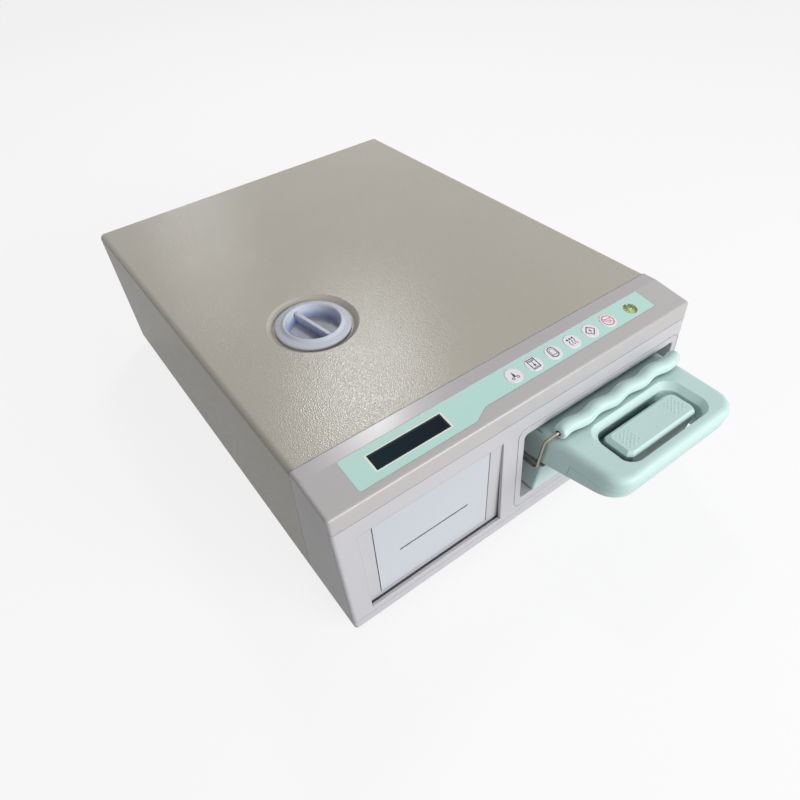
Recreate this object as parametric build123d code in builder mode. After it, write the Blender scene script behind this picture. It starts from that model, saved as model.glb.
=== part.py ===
from build123d import *
import os
from math import atan2, cos, hypot, pi, sin

# Cassette autoclave standing on its feet, front towards -Y, lengths in millimetres.
# Depths run back from the top front edge of the control hood and heights run up from
# the underside of the body. back() and up() turn them into Y and Z.

# Body
body_width = 410.0
body_height = 147.6
cover_length = 444.9
band_depth = 13.5
slope_depth = 38.1
slope_drop = 5.5
front_lean = 24.7
hood_height = 21.7
wall = 3.0
sheet = 1.2
pan_sheet = 1.5
seam = 0.3
seat = 0.2
corner_depth = 4.0
corner_radius = 3.2
hood_radius = 3.0
cover_radius = 6.0
sill_height = 8.0
sill_depth = 12.0
frame_flange = 12.0

# Feet
foot_height = 10.0
foot_radius = 12.0
foot_inset = 40.0
foot_margin = 46.5

# Control strip on the slope, distances along the slope
label_margin_left = 33.8
label_margin_right = 32.4
label_low_left = 7.2
label_low_right = 14.6
label_top = 38.0
label_step_start = 57.6
label_step_end = 41.9
label_corner = 2.4
label_thickness = 0.4
window_margin = 58.0
window_row = 22.65
window_width = 72.4
window_height = 15.2
window_thickness = 1.6
key_count = 6
key_margin = 171.8
key_pitch = 23.68
key_row = 25.9
key_radius = 7.7
key_gap = 0.3
key_rise = 0.4
key_flange = 1.0
key_travel = 0.5
switch_height = 3.2
board_thickness = 1.6
vial_margin = 23.2
vial_row = 25.0
vial_radius = 6.8
vial_depth = 7.0

# Printer bay in the front panel
recess_margin_left = 20.5
recess_margin_right = 26.0
recess_bottom = 14.0
recess_margin_top = 15.9
recess_depth = 6.0
recess_top_depth = 1.5
recess_backing = 4.5
door_margin = 14.5
door_side_gap = 14.2
door_low = 3.3
door_high = 1.0
door_thickness = 2.6
door_gap = 0.8
door_pin_radius = 0.8
pin_clearance = 0.06
paper_slit = 2.0
paper_width = 70.0
paper_radius = 22.0
spindle_radius = 6.0
spindle_clearance = 0.08

# Cassette slot and bay
slot_side_margin = 10.0
slot_clearance = 19.0
slot_bottom = 24.0
slot_top = 103.0
slot_radius = 4.0
slot_sleeve = 4.0
groove_margin = 8.0
groove_margin_right = 6.2
groove_width = 0.6
groove_depth = 0.35
bay_sheet = 1.5
bay_length = 369.2
bay_play = 1.0

# Cassette
tray_width = 164.0
tray_length = 370.0
tray_reach = 10.0
tray_floor = 26.5
tray_depth = 36.0
seal_height = 3.0
lid_depth = 32.0
pan_wall = 1.2
pan_corner = 14.0
pan_fillet = 5.0
rim_width = 2.0
rim_start = 24.0
port_pitch = 20.0
port_height = 50.0
probe_radius = 3.0
probe_clearance = 0.1

# Cassette handles
handle_reach = 92.5
handle_overlap = 2.5
handle_back = 12.0
handle_top = 100.0
handle_corner = 22.0
handle_taper = 6.0
handle_taper_right = 3.0
handle_split = 61.5
handle_foot = 25.0
opening_width = 103.0
opening_rear = 38.0
opening_front = 80.5
opening_offset = 1.5
opening_radius = 12.0
opening_rim = 6.0
pad_width = 86.0
pad_length = 23.2
pad_setback = 9.8
parting_height = 84.0

# Bail over the handles
wire_radius = 1.5
wire_gap = 1.75
bail_pivot_depth = 170.0
bail_pivot_height = 60.0
bail_grip_depth = -23.0
grip_radius = 6.8
grip_inset = 4.5
grip_wave = 1.3
grip_wavelength = 37.2
wire_clearance = 0.1
pivot_clearance = 0.05

# Water reservoir and its cap
filler_offset = 11.0
filler_depth = 193.0
dish_radius = 44.0
dish_drop = 5.0
dish_slope = 4.5
filler_radius = 29.4
tank_margin_left = 15.0
tank_margin_right = 10.5
tank_front = 115.0
tank_back = 295.0
tank_headroom = 19.6
tank_wall = 2.5
neck_radius = 29.1
neck_wall = 3.9
cap_radius = 37.0
cap_flange = 6.4
cap_edge = 3.2
cap_ring = 29.6
cap_bowl = 26.5
cap_depth = 12.5
cap_plug = 28.6
cap_bar_width = 4.4
cap_bar_turn = 10.0
oring_radius = 0.95

# Rear
rear_reach = 18.0
fan_size = 60.0
fan_depth = 25.0

# Values that follow from the driving dimensions
half_width = body_width / 2
hood_depth = slope_depth + band_depth
body_depth = hood_depth + cover_length
front_top = body_height - slope_drop
seam_height = body_height - hood_height
recess_top = seam_height - recess_margin_top
tank_top = body_height - tank_headroom
front_y = (handle_reach - body_depth - rear_reach) / 2
slope_angle = atan2(slope_drop, slope_depth)
lean_angle = atan2(front_lean, front_top)
front_wall = wall / cos(lean_angle)
slot_width = tray_width + 2 * slot_clearance
slot_right = half_width - slot_side_margin
slot_left = slot_right - slot_width
cassette_x = (slot_left + slot_right) / 2
bay_left = slot_left - bay_play
bay_right = slot_right + bay_play
handle_width = tray_width + 2 * handle_overlap
grip_length = handle_width - 2 * grip_inset
wire_x = cassette_x - handle_width / 2 - wire_gap - wire_radius
bail_grip_height = handle_top + grip_radius + seat
opening_x = cassette_x + opening_offset
tank_left = tank_margin_left - half_width
tank_right = bay_left - bay_sheet - tank_margin_right
filler_x = (tank_left + tank_right) / 2 + filler_offset
label_left = label_margin_left - half_width
label_right = half_width - label_margin_right
key_first = label_right - key_margin
label_step_left = key_first - label_step_start
label_step_right = key_first - label_step_end
window_x = label_left + window_margin
vial_x = label_right - vial_margin
recess_left = recess_margin_left - half_width
recess_right = slot_left - recess_margin_right


def back(depth):
    """Y of a depth behind the top front edge of the hood."""
    return front_y + depth


def up(height):
    """Z of a height above the underside of the body."""
    return foot_height + height


def face(height):
    """Depth of the leaning front face at a height."""
    return -front_lean * (front_top - height) / front_top


def at_height(height):
    """Level plane, seen from above."""
    return Plane.XY.offset(up(height))


def at_depth(depth):
    """Upright plane across the body, seen from the front."""
    return Plane.XZ.offset(-back(depth))


def at_x(x):
    """Upright plane along the body, seen from the right."""
    return Plane.YZ.offset(x)


def rectangle(low, high, radius, mode):
    """Rectangle between two corners, rounded where a radius is given."""
    width = high[0] - low[0]
    length = high[1] - low[1]
    with Locations(((low[0] + high[0]) / 2, (low[1] + high[1]) / 2)):
        if radius > 0:
            RectangleRounded(width, length, radius, mode=mode)
        else:
            Rectangle(width, length, mode=mode)


def plan(x, depth, radius=0.0, mode=Mode.ADD):
    """Rectangle in a level sketch, between limits in x and in depth."""
    rectangle((x[0], back(depth[0])), (x[1], back(depth[1])), radius, mode)


def elevation(x, height, radius=0.0, mode=Mode.ADD):
    """Rectangle in a sketch across the body, between limits in x and in height."""
    rectangle((x[0], up(height[0])), (x[1], up(height[1])), radius, mode)


def side(*points):
    """Outline in a sketch along the body, from depths and heights."""
    Polygon(*[(back(depth), up(height)) for depth, height in points])


def block(x, depth, height, mode=Mode.ADD):
    """Rectangular block between limits in x, depth and height."""
    middle = ((x[0] + x[1]) / 2, back((depth[0] + depth[1]) / 2), up((height[0] + height[1]) / 2))
    with Locations(middle):
        Box(x[1] - x[0], depth[1] - depth[0], height[1] - height[0], mode=mode)


def upright_rod(x, depth, height, radius, mode=Mode.ADD):
    """Round bar standing between two heights."""
    with Locations((x, back(depth), up((height[0] + height[1]) / 2))):
        Cylinder(radius, height[1] - height[0], mode=mode)


def cross_rod(x, depth, height, radius, mode=Mode.ADD):
    """Round bar lying across the body between two values of x."""
    with Locations(Location(((x[0] + x[1]) / 2, back(depth), up(height)), (0, 90, 0))):
        Cylinder(radius, x[1] - x[0], mode=mode)


def long_rod(x, depth, height, radius, mode=Mode.ADD):
    """Round bar lying along the body between two depths."""
    with Locations(Location((x, back((depth[0] + depth[1]) / 2), up(height)), (90, 0, 0))):
        Cylinder(radius, depth[1] - depth[0], mode=mode)


def point(x, depth, height):
    """Point of a pipe's route."""
    return (x, back(depth), up(height))


slope_plane = Plane(
    origin=(0, back(0), up(front_top)),
    x_dir=(1, 0, 0),
    z_dir=(0, -sin(slope_angle), cos(slope_angle)),
)
front_plane = Plane(
    origin=(0, back(face(0)), up(0)),
    x_dir=(1, 0, 0),
    z_dir=(0, -cos(lean_angle), sin(lean_angle)),
)

pieces = []


def keep(piece, name):
    """Label a finished piece and put it on the list to write."""
    piece.part.label = name
    pieces.append(piece.part)


# Control hood: one moulding with the flat band, the control strip and both cheeks
hood_back = hood_depth - seam
hood_low = seam_height + seam / 2
panel_low = sill_height + seam
panel_high = seam_height - seam / 2
slope_rise = slope_drop / slope_depth
lean_rate = front_lean / front_top
inner_slope = front_top - wall / cos(slope_angle)
inner_top = body_height - wall
crease_depth = (inner_top - inner_slope) / slope_rise
inner_front = (front_wall - lean_rate * wall / cos(slope_angle)) / (1 - lean_rate * slope_rise)
key_positions = [key_first + key_pitch * number for number in range(key_count)]
key_hole = key_radius + key_gap


def label_outline(sketch, margin):
    """Outline of the keypad label with its stepped lower edge."""
    Polygon(
        (label_left, label_low_left),
        (label_step_left, label_low_left),
        (label_step_right, label_low_right),
        (label_right, label_low_right),
        (label_right, label_top),
        (label_left, label_top),
    )
    fillet(sketch.vertices().sort_by(Axis.X)[:2], radius=label_corner)
    offset(amount=margin, kind=Kind.INTERSECTION)


def control_openings(gap, mode):
    """Holes for the window, the keys and the level in a sketch on the slope."""
    with Locations((window_x, window_row)):
        Rectangle(window_width + 2 * gap, window_height + 2 * gap, mode=mode)
    with Locations(*[(x, key_row) for x in key_positions]):
        Circle(key_hole, mode=mode)
    with Locations((vial_x, vial_row)):
        Circle(vial_radius + gap, mode=mode)


with BuildPart() as control_hood:
    with BuildSketch(at_x(-half_width)):
        side(
            (hood_back, seam),
            (hood_back, body_height),
            (slope_depth, body_height),
            (0, front_top),
            (face(hood_low), hood_low),
            (face(hood_low) + corner_depth, hood_low),
            (face(panel_low) + corner_depth, panel_low),
            (face(panel_low) + sill_depth, panel_low),
            (face(panel_low) + sill_depth, seam),
        )
    extrude(amount=body_width)
    outer_edges = control_hood.edges().filter_by(
        lambda e: abs(abs(e.center().X) - half_width) < 0.01
        and e.center().Z > up(hood_low) + 1
        and e.center().Y < back(hood_back) - 1
    )
    front_edge = control_hood.edges().filter_by(Axis.X).filter_by(
        lambda e: abs(e.center().Y - back(0)) < 0.01 and abs(e.center().Z - up(front_top)) < 0.01
    )
    fillet(outer_edges + front_edge, radius=hood_radius)
    with BuildSketch(at_x(-half_width + wall)):
        side(
            (hood_depth, -wall),
            (hood_depth, inner_top),
            (crease_depth, inner_top),
            (inner_front, inner_slope + slope_rise * inner_front),
            (face(hood_low) + front_wall, hood_low),
            (face(0) - wall, hood_low),
            (face(0) - wall, -wall),
        )
    extrude(amount=body_width - 2 * wall, mode=Mode.SUBTRACT)
    with BuildSketch(slope_plane) as pocket:
        label_outline(pocket, seam / 2)
    extrude(amount=-label_thickness, mode=Mode.SUBTRACT)
    with BuildSketch(slope_plane):
        control_openings(seat, Mode.ADD)
    extrude(amount=-2 * wall, mode=Mode.SUBTRACT)
keep(control_hood, "control_hood")

# Keypad label, a film let into the control strip
with BuildPart() as keypad_label:
    with BuildSketch(slope_plane.offset(-label_thickness)) as film:
        label_outline(film, 0)
        control_openings(0, Mode.SUBTRACT)
    extrude(amount=label_thickness)
keep(keypad_label, "keypad_label")

# Display window and the display module behind it
window_top = label_thickness + seam / 2
module_top = window_top + window_thickness + seat
module_board = wall + 5.0
with BuildPart() as lcd_window:
    with BuildSketch(slope_plane.offset(-window_top - window_thickness)):
        with Locations((window_x, window_row)):
            Rectangle(window_width, window_height)
    extrude(amount=window_thickness)
keep(lcd_window, "lcd_window")

with BuildPart() as lcd_module:
    with BuildSketch(slope_plane.offset(-wall - seat)):
        with Locations((window_x, window_row)):
            Rectangle(window_width + 8, window_height + 10)
    extrude(amount=wall + seat - module_board)
    with BuildSketch(slope_plane.offset(-wall - seat)):
        with Locations((window_x, window_row)):
            Rectangle(window_width - 2, window_height - 2)
    extrude(amount=wall + seat - module_top)
    with BuildSketch(slope_plane.offset(-module_board)):
        with Locations((window_x, window_row)):
            Rectangle(window_width + 13, window_height + 16)
            with GridLocations(window_width + 7, window_height + 12, 2, 2):
                Circle(1.6, mode=Mode.SUBTRACT)
    extrude(amount=-board_thickness)
keep(lcd_module, "lcd_module")

# Six keys, each held under the hood by its flange
slope_normal = Axis(slope_plane.origin, slope_plane.z_dir)
key_seat = wall + seat
board_top = key_seat + key_flange + key_travel + switch_height
for number, x in enumerate(key_positions, start=1):
    with BuildPart() as button:
        with BuildSketch(slope_plane.offset(-key_seat)):
            with Locations((x, key_row)):
                Circle(key_radius + 1.3)
        extrude(amount=-key_flange)
        with BuildSketch(slope_plane.offset(-key_seat)):
            with Locations((x, key_row)):
                Circle(key_radius)
        extrude(amount=key_seat + key_rise)
        top_rim = button.edges().filter_by(GeomType.CIRCLE).sort_by(slope_normal)[-1]
        fillet(top_rim, radius=key_rise / 2)
    keep(button, f"button_{number}")

# Keypad board with its switches and the pillars that carry it
board_middle = (key_positions[0] + key_positions[-1]) / 2
board_width = key_positions[-1] - key_positions[0] + 38
board_height = 26.0
with BuildPart() as keypad_board:
    with BuildSketch(slope_plane.offset(-board_top)):
        with Locations((board_middle, key_row)):
            Rectangle(board_width, board_height)
    extrude(amount=-board_thickness)
    with BuildSketch(slope_plane.offset(-board_top)):
        with Locations(*[(x, key_row) for x in key_positions]):
            Rectangle(6, 6)
    extrude(amount=switch_height - 1)
    with BuildSketch(slope_plane.offset(-board_top)):
        with Locations(*[(x, key_row) for x in key_positions]):
            Circle(1.7)
    extrude(amount=switch_height - seat)
    with BuildSketch(slope_plane.offset(-board_top)):
        with Locations((board_middle, key_row)):
            with GridLocations(board_width - 6, board_height - 6, 2, 2):
                Circle(2.4)
    extrude(amount=board_top - key_seat)
keep(keypad_board, "keypad_board")

# Bubble level: a cup held under the hood by its flange, closed by a clear lens
lens_thickness = 1.4
with BuildPart() as level_vial:
    with BuildSketch(slope_plane.offset(-lens_thickness - seat)):
        with Locations((vial_x, vial_row)):
            Circle(vial_radius)
    extrude(amount=-vial_depth)
    with BuildSketch(slope_plane.offset(-key_seat)):
        with Locations((vial_x, vial_row)):
            Circle(vial_radius + 2)
    extrude(amount=-1.2)
    with BuildSketch(slope_plane.offset(-lens_thickness - seat)):
        with Locations((vial_x, vial_row)):
            Circle(vial_radius - 1)
    extrude(amount=-vial_depth + 1, mode=Mode.SUBTRACT)
keep(level_vial, "level_vial")

with BuildPart() as level_lens:
    with BuildSketch(slope_plane.offset(-lens_thickness)):
        with Locations((vial_x, vial_row)):
            Circle(vial_radius - 0.1)
    extrude(amount=lens_thickness)
    lens_rim = level_lens.edges().filter_by(GeomType.CIRCLE).sort_by(slope_normal)[-1]
    fillet(lens_rim, radius=0.4)
keep(level_lens, "level_lens")

# Front panel: leaning wall, printer recess with its door rebate, and the cassette slot's sleeve
recess_run = face(recess_top) + recess_top_depth - face(recess_bottom) - recess_depth
recess_angle = atan2(recess_run, recess_top - recess_bottom)
recess_length = hypot(recess_run, recess_top - recess_bottom)
recess_plane = Plane(
    origin=(0, back(face(recess_bottom) + recess_depth), up(recess_bottom)),
    x_dir=(1, 0, 0),
    z_dir=(0, -cos(recess_angle), sin(recess_angle)),
)
door_left = recess_left + door_margin
door_right = recess_right - door_side_gap
door_bottom = door_low
door_top = recess_length - door_high
pivot = recess_plane.from_local_coords((0, door_top - door_thickness / 2, -door_thickness / 2))
pivot_depth = pivot.Y - front_y
pivot_height = pivot.Z - foot_height
ledge = 8.0
aperture_low = 16.0
aperture_high = door_top - 12.0


def recess_outline(grow):
    """Printer recess on its own leaning plane."""
    Polygon(
        (recess_left - grow, -grow),
        (recess_right + grow, -grow),
        (recess_right + grow, recess_length + grow),
        (recess_left - grow, recess_length + grow),
    )


with BuildPart() as front_panel:
    with BuildSketch(at_x(-half_width)):
        side(
            (face(panel_low), panel_low),
            (face(panel_high), panel_high),
            (face(panel_high) + corner_depth - seam, panel_high),
            (face(panel_low) + corner_depth - seam, panel_low),
        )
    extrude(amount=body_width)
    with BuildSketch(at_x(-half_width + 2 * wall)):
        side(
            (face(panel_low) + front_wall, panel_low - 1),
            (face(panel_high) + front_wall, panel_high + 1),
            (face(panel_high) + corner_depth, panel_high + 1),
            (face(panel_low) + corner_depth, panel_low - 1),
        )
    extrude(amount=body_width - 4 * wall, mode=Mode.SUBTRACT)
    corners = front_panel.edges().filter_by(
        lambda e: abs(abs(e.center().X) - half_width) < 0.01
        and abs(e.center().Y - back(face((panel_low + panel_high) / 2))) < 0.5
    )
    fillet(corners, radius=corner_radius)
    with BuildSketch(at_depth(slot_sleeve)):
        elevation(
            (slot_left - wall, slot_right + wall),
            (slot_bottom - wall, slot_top + wall),
            slot_radius + wall,
        )
    extrude(amount=slot_sleeve - face(slot_bottom - wall) + 1)
    with BuildSketch(recess_plane):
        recess_outline(wall)
    extrude(amount=-recess_backing)
    with BuildSketch(at_x(-half_width)):
        side(
            (face(-wall), -wall),
            (face(body_height), body_height),
            (face(-wall) - 20, body_height),
            (face(-wall) - 20, -wall),
        )
    extrude(amount=body_width, mode=Mode.SUBTRACT)
    with BuildSketch(at_depth(slot_sleeve + 1)):
        elevation((slot_left, slot_right), (slot_bottom, slot_top), slot_radius)
    extrude(amount=slot_sleeve - face(0) + 10, mode=Mode.SUBTRACT)
    slot_edges = front_panel.edges().filter_by(
        lambda e: slot_left - 1 < e.center().X < slot_right + 1
        and up(slot_bottom) - 1 < e.center().Z < up(slot_top) + 1
        and abs(e.center().Y - back(face(e.center().Z - foot_height))) < 0.6
    )
    fillet(slot_edges, radius=1.5)
    with BuildSketch(recess_plane):
        recess_outline(0)
    extrude(amount=front_lean, mode=Mode.SUBTRACT)
    with BuildSketch(recess_plane):
        rectangle(
            (door_left - door_gap, door_bottom - door_gap),
            (door_right + door_gap, door_top + door_gap),
            0,
            Mode.ADD,
        )
    extrude(amount=-door_thickness - seam, mode=Mode.SUBTRACT)
    with BuildSketch(recess_plane):
        rectangle(
            (door_left + ledge, aperture_low),
            (door_right - ledge, aperture_high),
            2.0,
            Mode.ADD,
        )
    extrude(amount=-2 * recess_backing, mode=Mode.SUBTRACT)
    with BuildSketch(at_x(door_left - 3.0)):
        with Locations((back(pivot_depth), up(pivot_height))):
            Circle(door_pin_radius + pin_clearance)
    extrude(amount=door_right - door_left + 6.0, mode=Mode.SUBTRACT)
    groove_low = (slot_bottom - groove_margin) / cos(lean_angle)
    groove_high = (slot_top + groove_margin) / cos(lean_angle)
    with BuildSketch(front_plane):
        for grow, mode in ((groove_width, Mode.ADD), (0, Mode.SUBTRACT)):
            rectangle(
                (slot_left - groove_margin - grow, groove_low - grow),
                (slot_right + groove_margin_right + grow, groove_high + grow),
                groove_margin + grow,
                mode,
            )
    extrude(amount=-groove_depth, mode=Mode.SUBTRACT)
keep(front_panel, "front_panel")

# Sill strip below the front panel
with BuildPart() as front_sill:
    with BuildSketch(at_x(-half_width)):
        side(
            (face(0), 0),
            (face(sill_height), sill_height),
            (face(panel_low) + sill_depth - seam, sill_height),
            (face(panel_low) + sill_depth - seam, 0),
        )
    extrude(amount=body_width)
    sill_corners = front_sill.edges().filter_by(
        lambda e: abs(abs(e.center().X) - half_width) < 0.01
        and abs(e.center().Y - back(face(sill_height / 2))) < 0.5
    )
    fillet(sill_corners, radius=corner_radius)
keep(front_sill, "front_sill")

# Printer door, flush with the recess, with round pivot pins near its top edge
with BuildPart() as printer_door:
    with BuildSketch(recess_plane):
        rectangle((door_left, door_bottom), (door_right, door_top), 0, Mode.ADD)
    extrude(amount=-door_thickness)
    with BuildSketch(recess_plane):
        with Locations(((door_left + door_right) / 2, door_top * 0.47)):
            SlotOverall(paper_width + 6, paper_slit)
    extrude(amount=-door_thickness, mode=Mode.SUBTRACT)
    top_edges = printer_door.edges().filter_by(Axis.X).sort_by(
        Axis(recess_plane.origin, recess_plane.y_dir)
    )[-2:]
    fillet(top_edges, radius=door_thickness / 2 - 0.01)
    cross_rod((door_left - 2.5, door_left + 1), pivot_depth, pivot_height, door_pin_radius)
    cross_rod((door_right - 1, door_right + 2.5), pivot_depth, pivot_height, door_pin_radius)
keep(printer_door, "printer_door")

filler_axis = Axis((filler_x, back(filler_depth), 0), (0, 0, 1))


def filler_plane(height):
    """Upright plane through the filler's axis, its origin on the axis."""
    return Plane(origin=(filler_x, back(filler_depth), up(height)), x_dir=(1, 0, 0), z_dir=(0, -1, 0))


# Sheet cover with rounded long edges, a dished seat round the filler and a rear frame
with BuildPart() as top_cover:
    with BuildSketch(at_depth(body_depth)) as outer:
        elevation((-half_width, half_width), (seam, body_height))
        fillet(outer.vertices().sort_by(Axis.Y)[-2:], radius=cover_radius)
    extrude(amount=cover_length)
    with BuildSketch(at_depth(body_depth - sheet)) as inner:
        elevation((-half_width + sheet, half_width - sheet), (-wall, body_height - sheet))
        fillet(inner.vertices().sort_by(Axis.Y)[-2:], radius=cover_radius - sheet)
    extrude(amount=cover_length, mode=Mode.SUBTRACT)
    with BuildSketch(at_depth(body_depth + 1)):
        elevation(
            (-half_width + frame_flange, half_width - frame_flange),
            (-wall, body_height - frame_flange),
        )
    extrude(amount=2 * sheet + 1, mode=Mode.SUBTRACT)
    upright_rod(
        filler_x, filler_depth, (body_height - 2 * sheet, body_height + 1), dish_radius + 2, Mode.SUBTRACT
    )
    with BuildSketch(filler_plane(body_height)) as dish:
        Polygon(
            (filler_radius, -dish_drop - sheet),
            (dish_radius - dish_slope + 0.5, -dish_drop - sheet),
            (dish_radius + 0.5, -sheet),
            (dish_radius + 2, -sheet),
            (dish_radius + 2, 0),
            (dish_radius, 0),
            (dish_radius - dish_slope, -dish_drop),
            (filler_radius, -dish_drop),
        )
        bend_points = dish.vertices().filter_by(
            lambda v: hypot(v.X - dish_radius, v.Y) < 0.01
            or hypot(v.X - dish_radius + dish_slope, v.Y + dish_drop) < 0.01
        )
        fillet(bend_points, radius=1.6)
    revolve(axis=filler_axis)
    screw_x = half_width - frame_flange / 2
    screw_spots = [(x, up(h)) for x in (-screw_x, screw_x) for h in (body_height * 0.2, body_height * 0.75)]
    screw_spots += [(x, up(body_height - frame_flange / 2)) for x in (-half_width * 0.5, half_width * 0.5)]
    with BuildSketch(at_depth(body_depth + 1)):
        with Locations(*screw_spots):
            Circle(1.8)
    extrude(amount=2 * sheet + 1, mode=Mode.SUBTRACT)
keep(top_cover, "top_cover")

# Rear panel inside the cover's rear frame, with its cut-outs and vents
panel_rear = body_depth - sheet - seat
panel_inner = panel_rear - sheet
fan_x = filler_x + 34.0
fan_height = 88.0
inlet_x = 55.0 - half_width
inlet_height = 36.0
inlet_width = 27.5
inlet_tall = 20.5
switch_x = inlet_x
switch_middle = 82.0
switch_width = 19.0
switch_tall = 26.0
exhaust_x = cassette_x - 64.0
exhaust_height = 36.0
exhaust_bore = 5.0
filter_x = half_width - 85.0
filter_height = 92.0
filter_stem = 6.0
vent_x = exhaust_x
with BuildPart() as rear_panel:
    block(
        (-half_width + sheet + seam, half_width - sheet - seam),
        (panel_inner, panel_rear),
        (pan_sheet + seam, body_height - sheet - seam),
    )
    rear_corners = rear_panel.edges().filter_by(Axis.Y).sort_by(Axis.Z)[-2:]
    fillet(rear_corners, radius=cover_radius - sheet)
    with BuildSketch(at_depth(panel_rear + 1)):
        elevation(
            (inlet_x - inlet_width / 2, inlet_x + inlet_width / 2),
            (inlet_height - inlet_tall / 2, inlet_height + inlet_tall / 2),
            1.0,
        )
        elevation(
            (switch_x - switch_width / 2, switch_x + switch_width / 2),
            (switch_middle - switch_tall / 2, switch_middle + switch_tall / 2),
        )
        with Locations((exhaust_x, up(exhaust_height))):
            Circle(exhaust_bore + seat)
        with Locations((filter_x, up(filter_height))):
            Circle(filter_stem + seat)
        with Locations((fan_x, up(fan_height))):
            with GridLocations(0, 8.0, 1, 6):
                SlotOverall(44, 4.4)
        with Locations((vent_x, up(fan_height))):
            with GridLocations(0, 8.0, 1, 6):
                SlotOverall(40, 3.6)
        with Locations(*screw_spots):
            Circle(1.6)
    extrude(amount=sheet + 2, mode=Mode.SUBTRACT)
keep(rear_panel, "rear_panel")

# Base pan with upturned flanges, stiffening ribs, vents and foot holes
pan_rear = panel_inner - seam
pan_front = face(panel_low) + sill_depth - seam + seat
pan_half = half_width - sheet - seam
cheek_half = half_width - wall - seam
side_flange = 14.0
front_flange = recess_bottom + 1.0
foot_x = half_width - foot_inset
foot_spots = [
    (x, depth) for x in (-foot_x, foot_x) for depth in (foot_inset, body_depth - foot_margin)
]
with BuildPart() as base_pan:
    with BuildSketch(at_height(0)):
        plan((-cheek_half, cheek_half), (pan_front, hood_depth + 1))
        plan((-pan_half, pan_half), (hood_depth, pan_rear))
    extrude(amount=pan_sheet)
    block((-cheek_half, cheek_half), (pan_front, pan_front + pan_sheet), (0, front_flange))
    block((-pan_half, pan_half), (pan_rear - pan_sheet, pan_rear), (0, side_flange))
    for low, high in ((-pan_half, -pan_half + pan_sheet), (pan_half - pan_sheet, pan_half)):
        block((low, high), (hood_depth, pan_rear), (0, side_flange))
    with BuildSketch(at_height(-1)):
        for x, depth in foot_spots:
            with Locations((x, back(depth))):
                Circle(4.0)
        with Locations((filler_x, back(body_depth - 90))):
            with GridLocations(0, 9.0, 1, 6):
                SlotOverall(60, 4.0)
    extrude(amount=pan_sheet + 2, mode=Mode.SUBTRACT)
keep(base_pan, "base_pan")

# Rubber feet, their stems through the pan
with BuildPart() as rubber_feet:
    for x, depth in foot_spots:
        with BuildSketch(Plane(origin=(x, back(depth), 0), x_dir=(1, 0, 0), z_dir=(0, -1, 0))):
            Polygon(
                (0, 0),
                (foot_radius - 2.2, 0),
                (foot_radius - 1.4, 0.8),
                (foot_radius, foot_height - 1),
                (foot_radius, foot_height),
                (3.8, foot_height),
                (3.8, foot_height + pan_sheet - seat),
                (0, foot_height + pan_sheet - seat),
            )
        revolve(axis=Axis((x, back(depth), 0), (0, 0, 1)))
keep(rubber_feet, "rubber_feet")

# Cover screws through the rear frame into the rear panel
with BuildPart() as cover_screws:
    for x, z in screw_spots:
        long_rod(x, (body_depth, body_depth + 1.9), z - foot_height, 3.2)
        long_rod(x, (panel_inner - 2.0, body_depth), z - foot_height, 1.5)
    with BuildSketch(at_depth(body_depth + 2)):
        with Locations(*screw_spots):
            Rectangle(3.2, 0.8)
            Rectangle(0.8, 3.2)
    extrude(amount=1.0, mode=Mode.SUBTRACT)
keep(cover_screws, "cover_screws")

# Water reservoir with its filler neck under the dish
neck_height = body_height - dish_drop - sheet - seam
pan_top = pan_sheet + seat
tank_x = (tank_left, tank_right)
tank_y = (tank_front, tank_back)
with BuildPart() as reservoir_tank:
    with BuildSketch(at_height(pan_top)):
        plan(tank_x, tank_y, 12.0)
    extrude(amount=tank_top - pan_top)
    tank_rims = reservoir_tank.faces().sort_by(Axis.Z)[-1].edges()
    fillet(tank_rims, radius=5.0)
    upright_rod(filler_x, filler_depth, (tank_top - 1, neck_height), neck_radius + neck_wall)
    with BuildSketch(at_height(pan_top + tank_wall)):
        plan(
            (tank_left + tank_wall, tank_right - tank_wall),
            (tank_front + tank_wall, tank_back - tank_wall),
            12.0 - tank_wall,
        )
    extrude(amount=tank_top - pan_top - 2 * tank_wall, mode=Mode.SUBTRACT)
    upright_rod(
        filler_x, filler_depth, (tank_top - 2 * tank_wall, neck_height + 1), neck_radius, Mode.SUBTRACT
    )
keep(reservoir_tank, "reservoir_tank")

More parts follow.
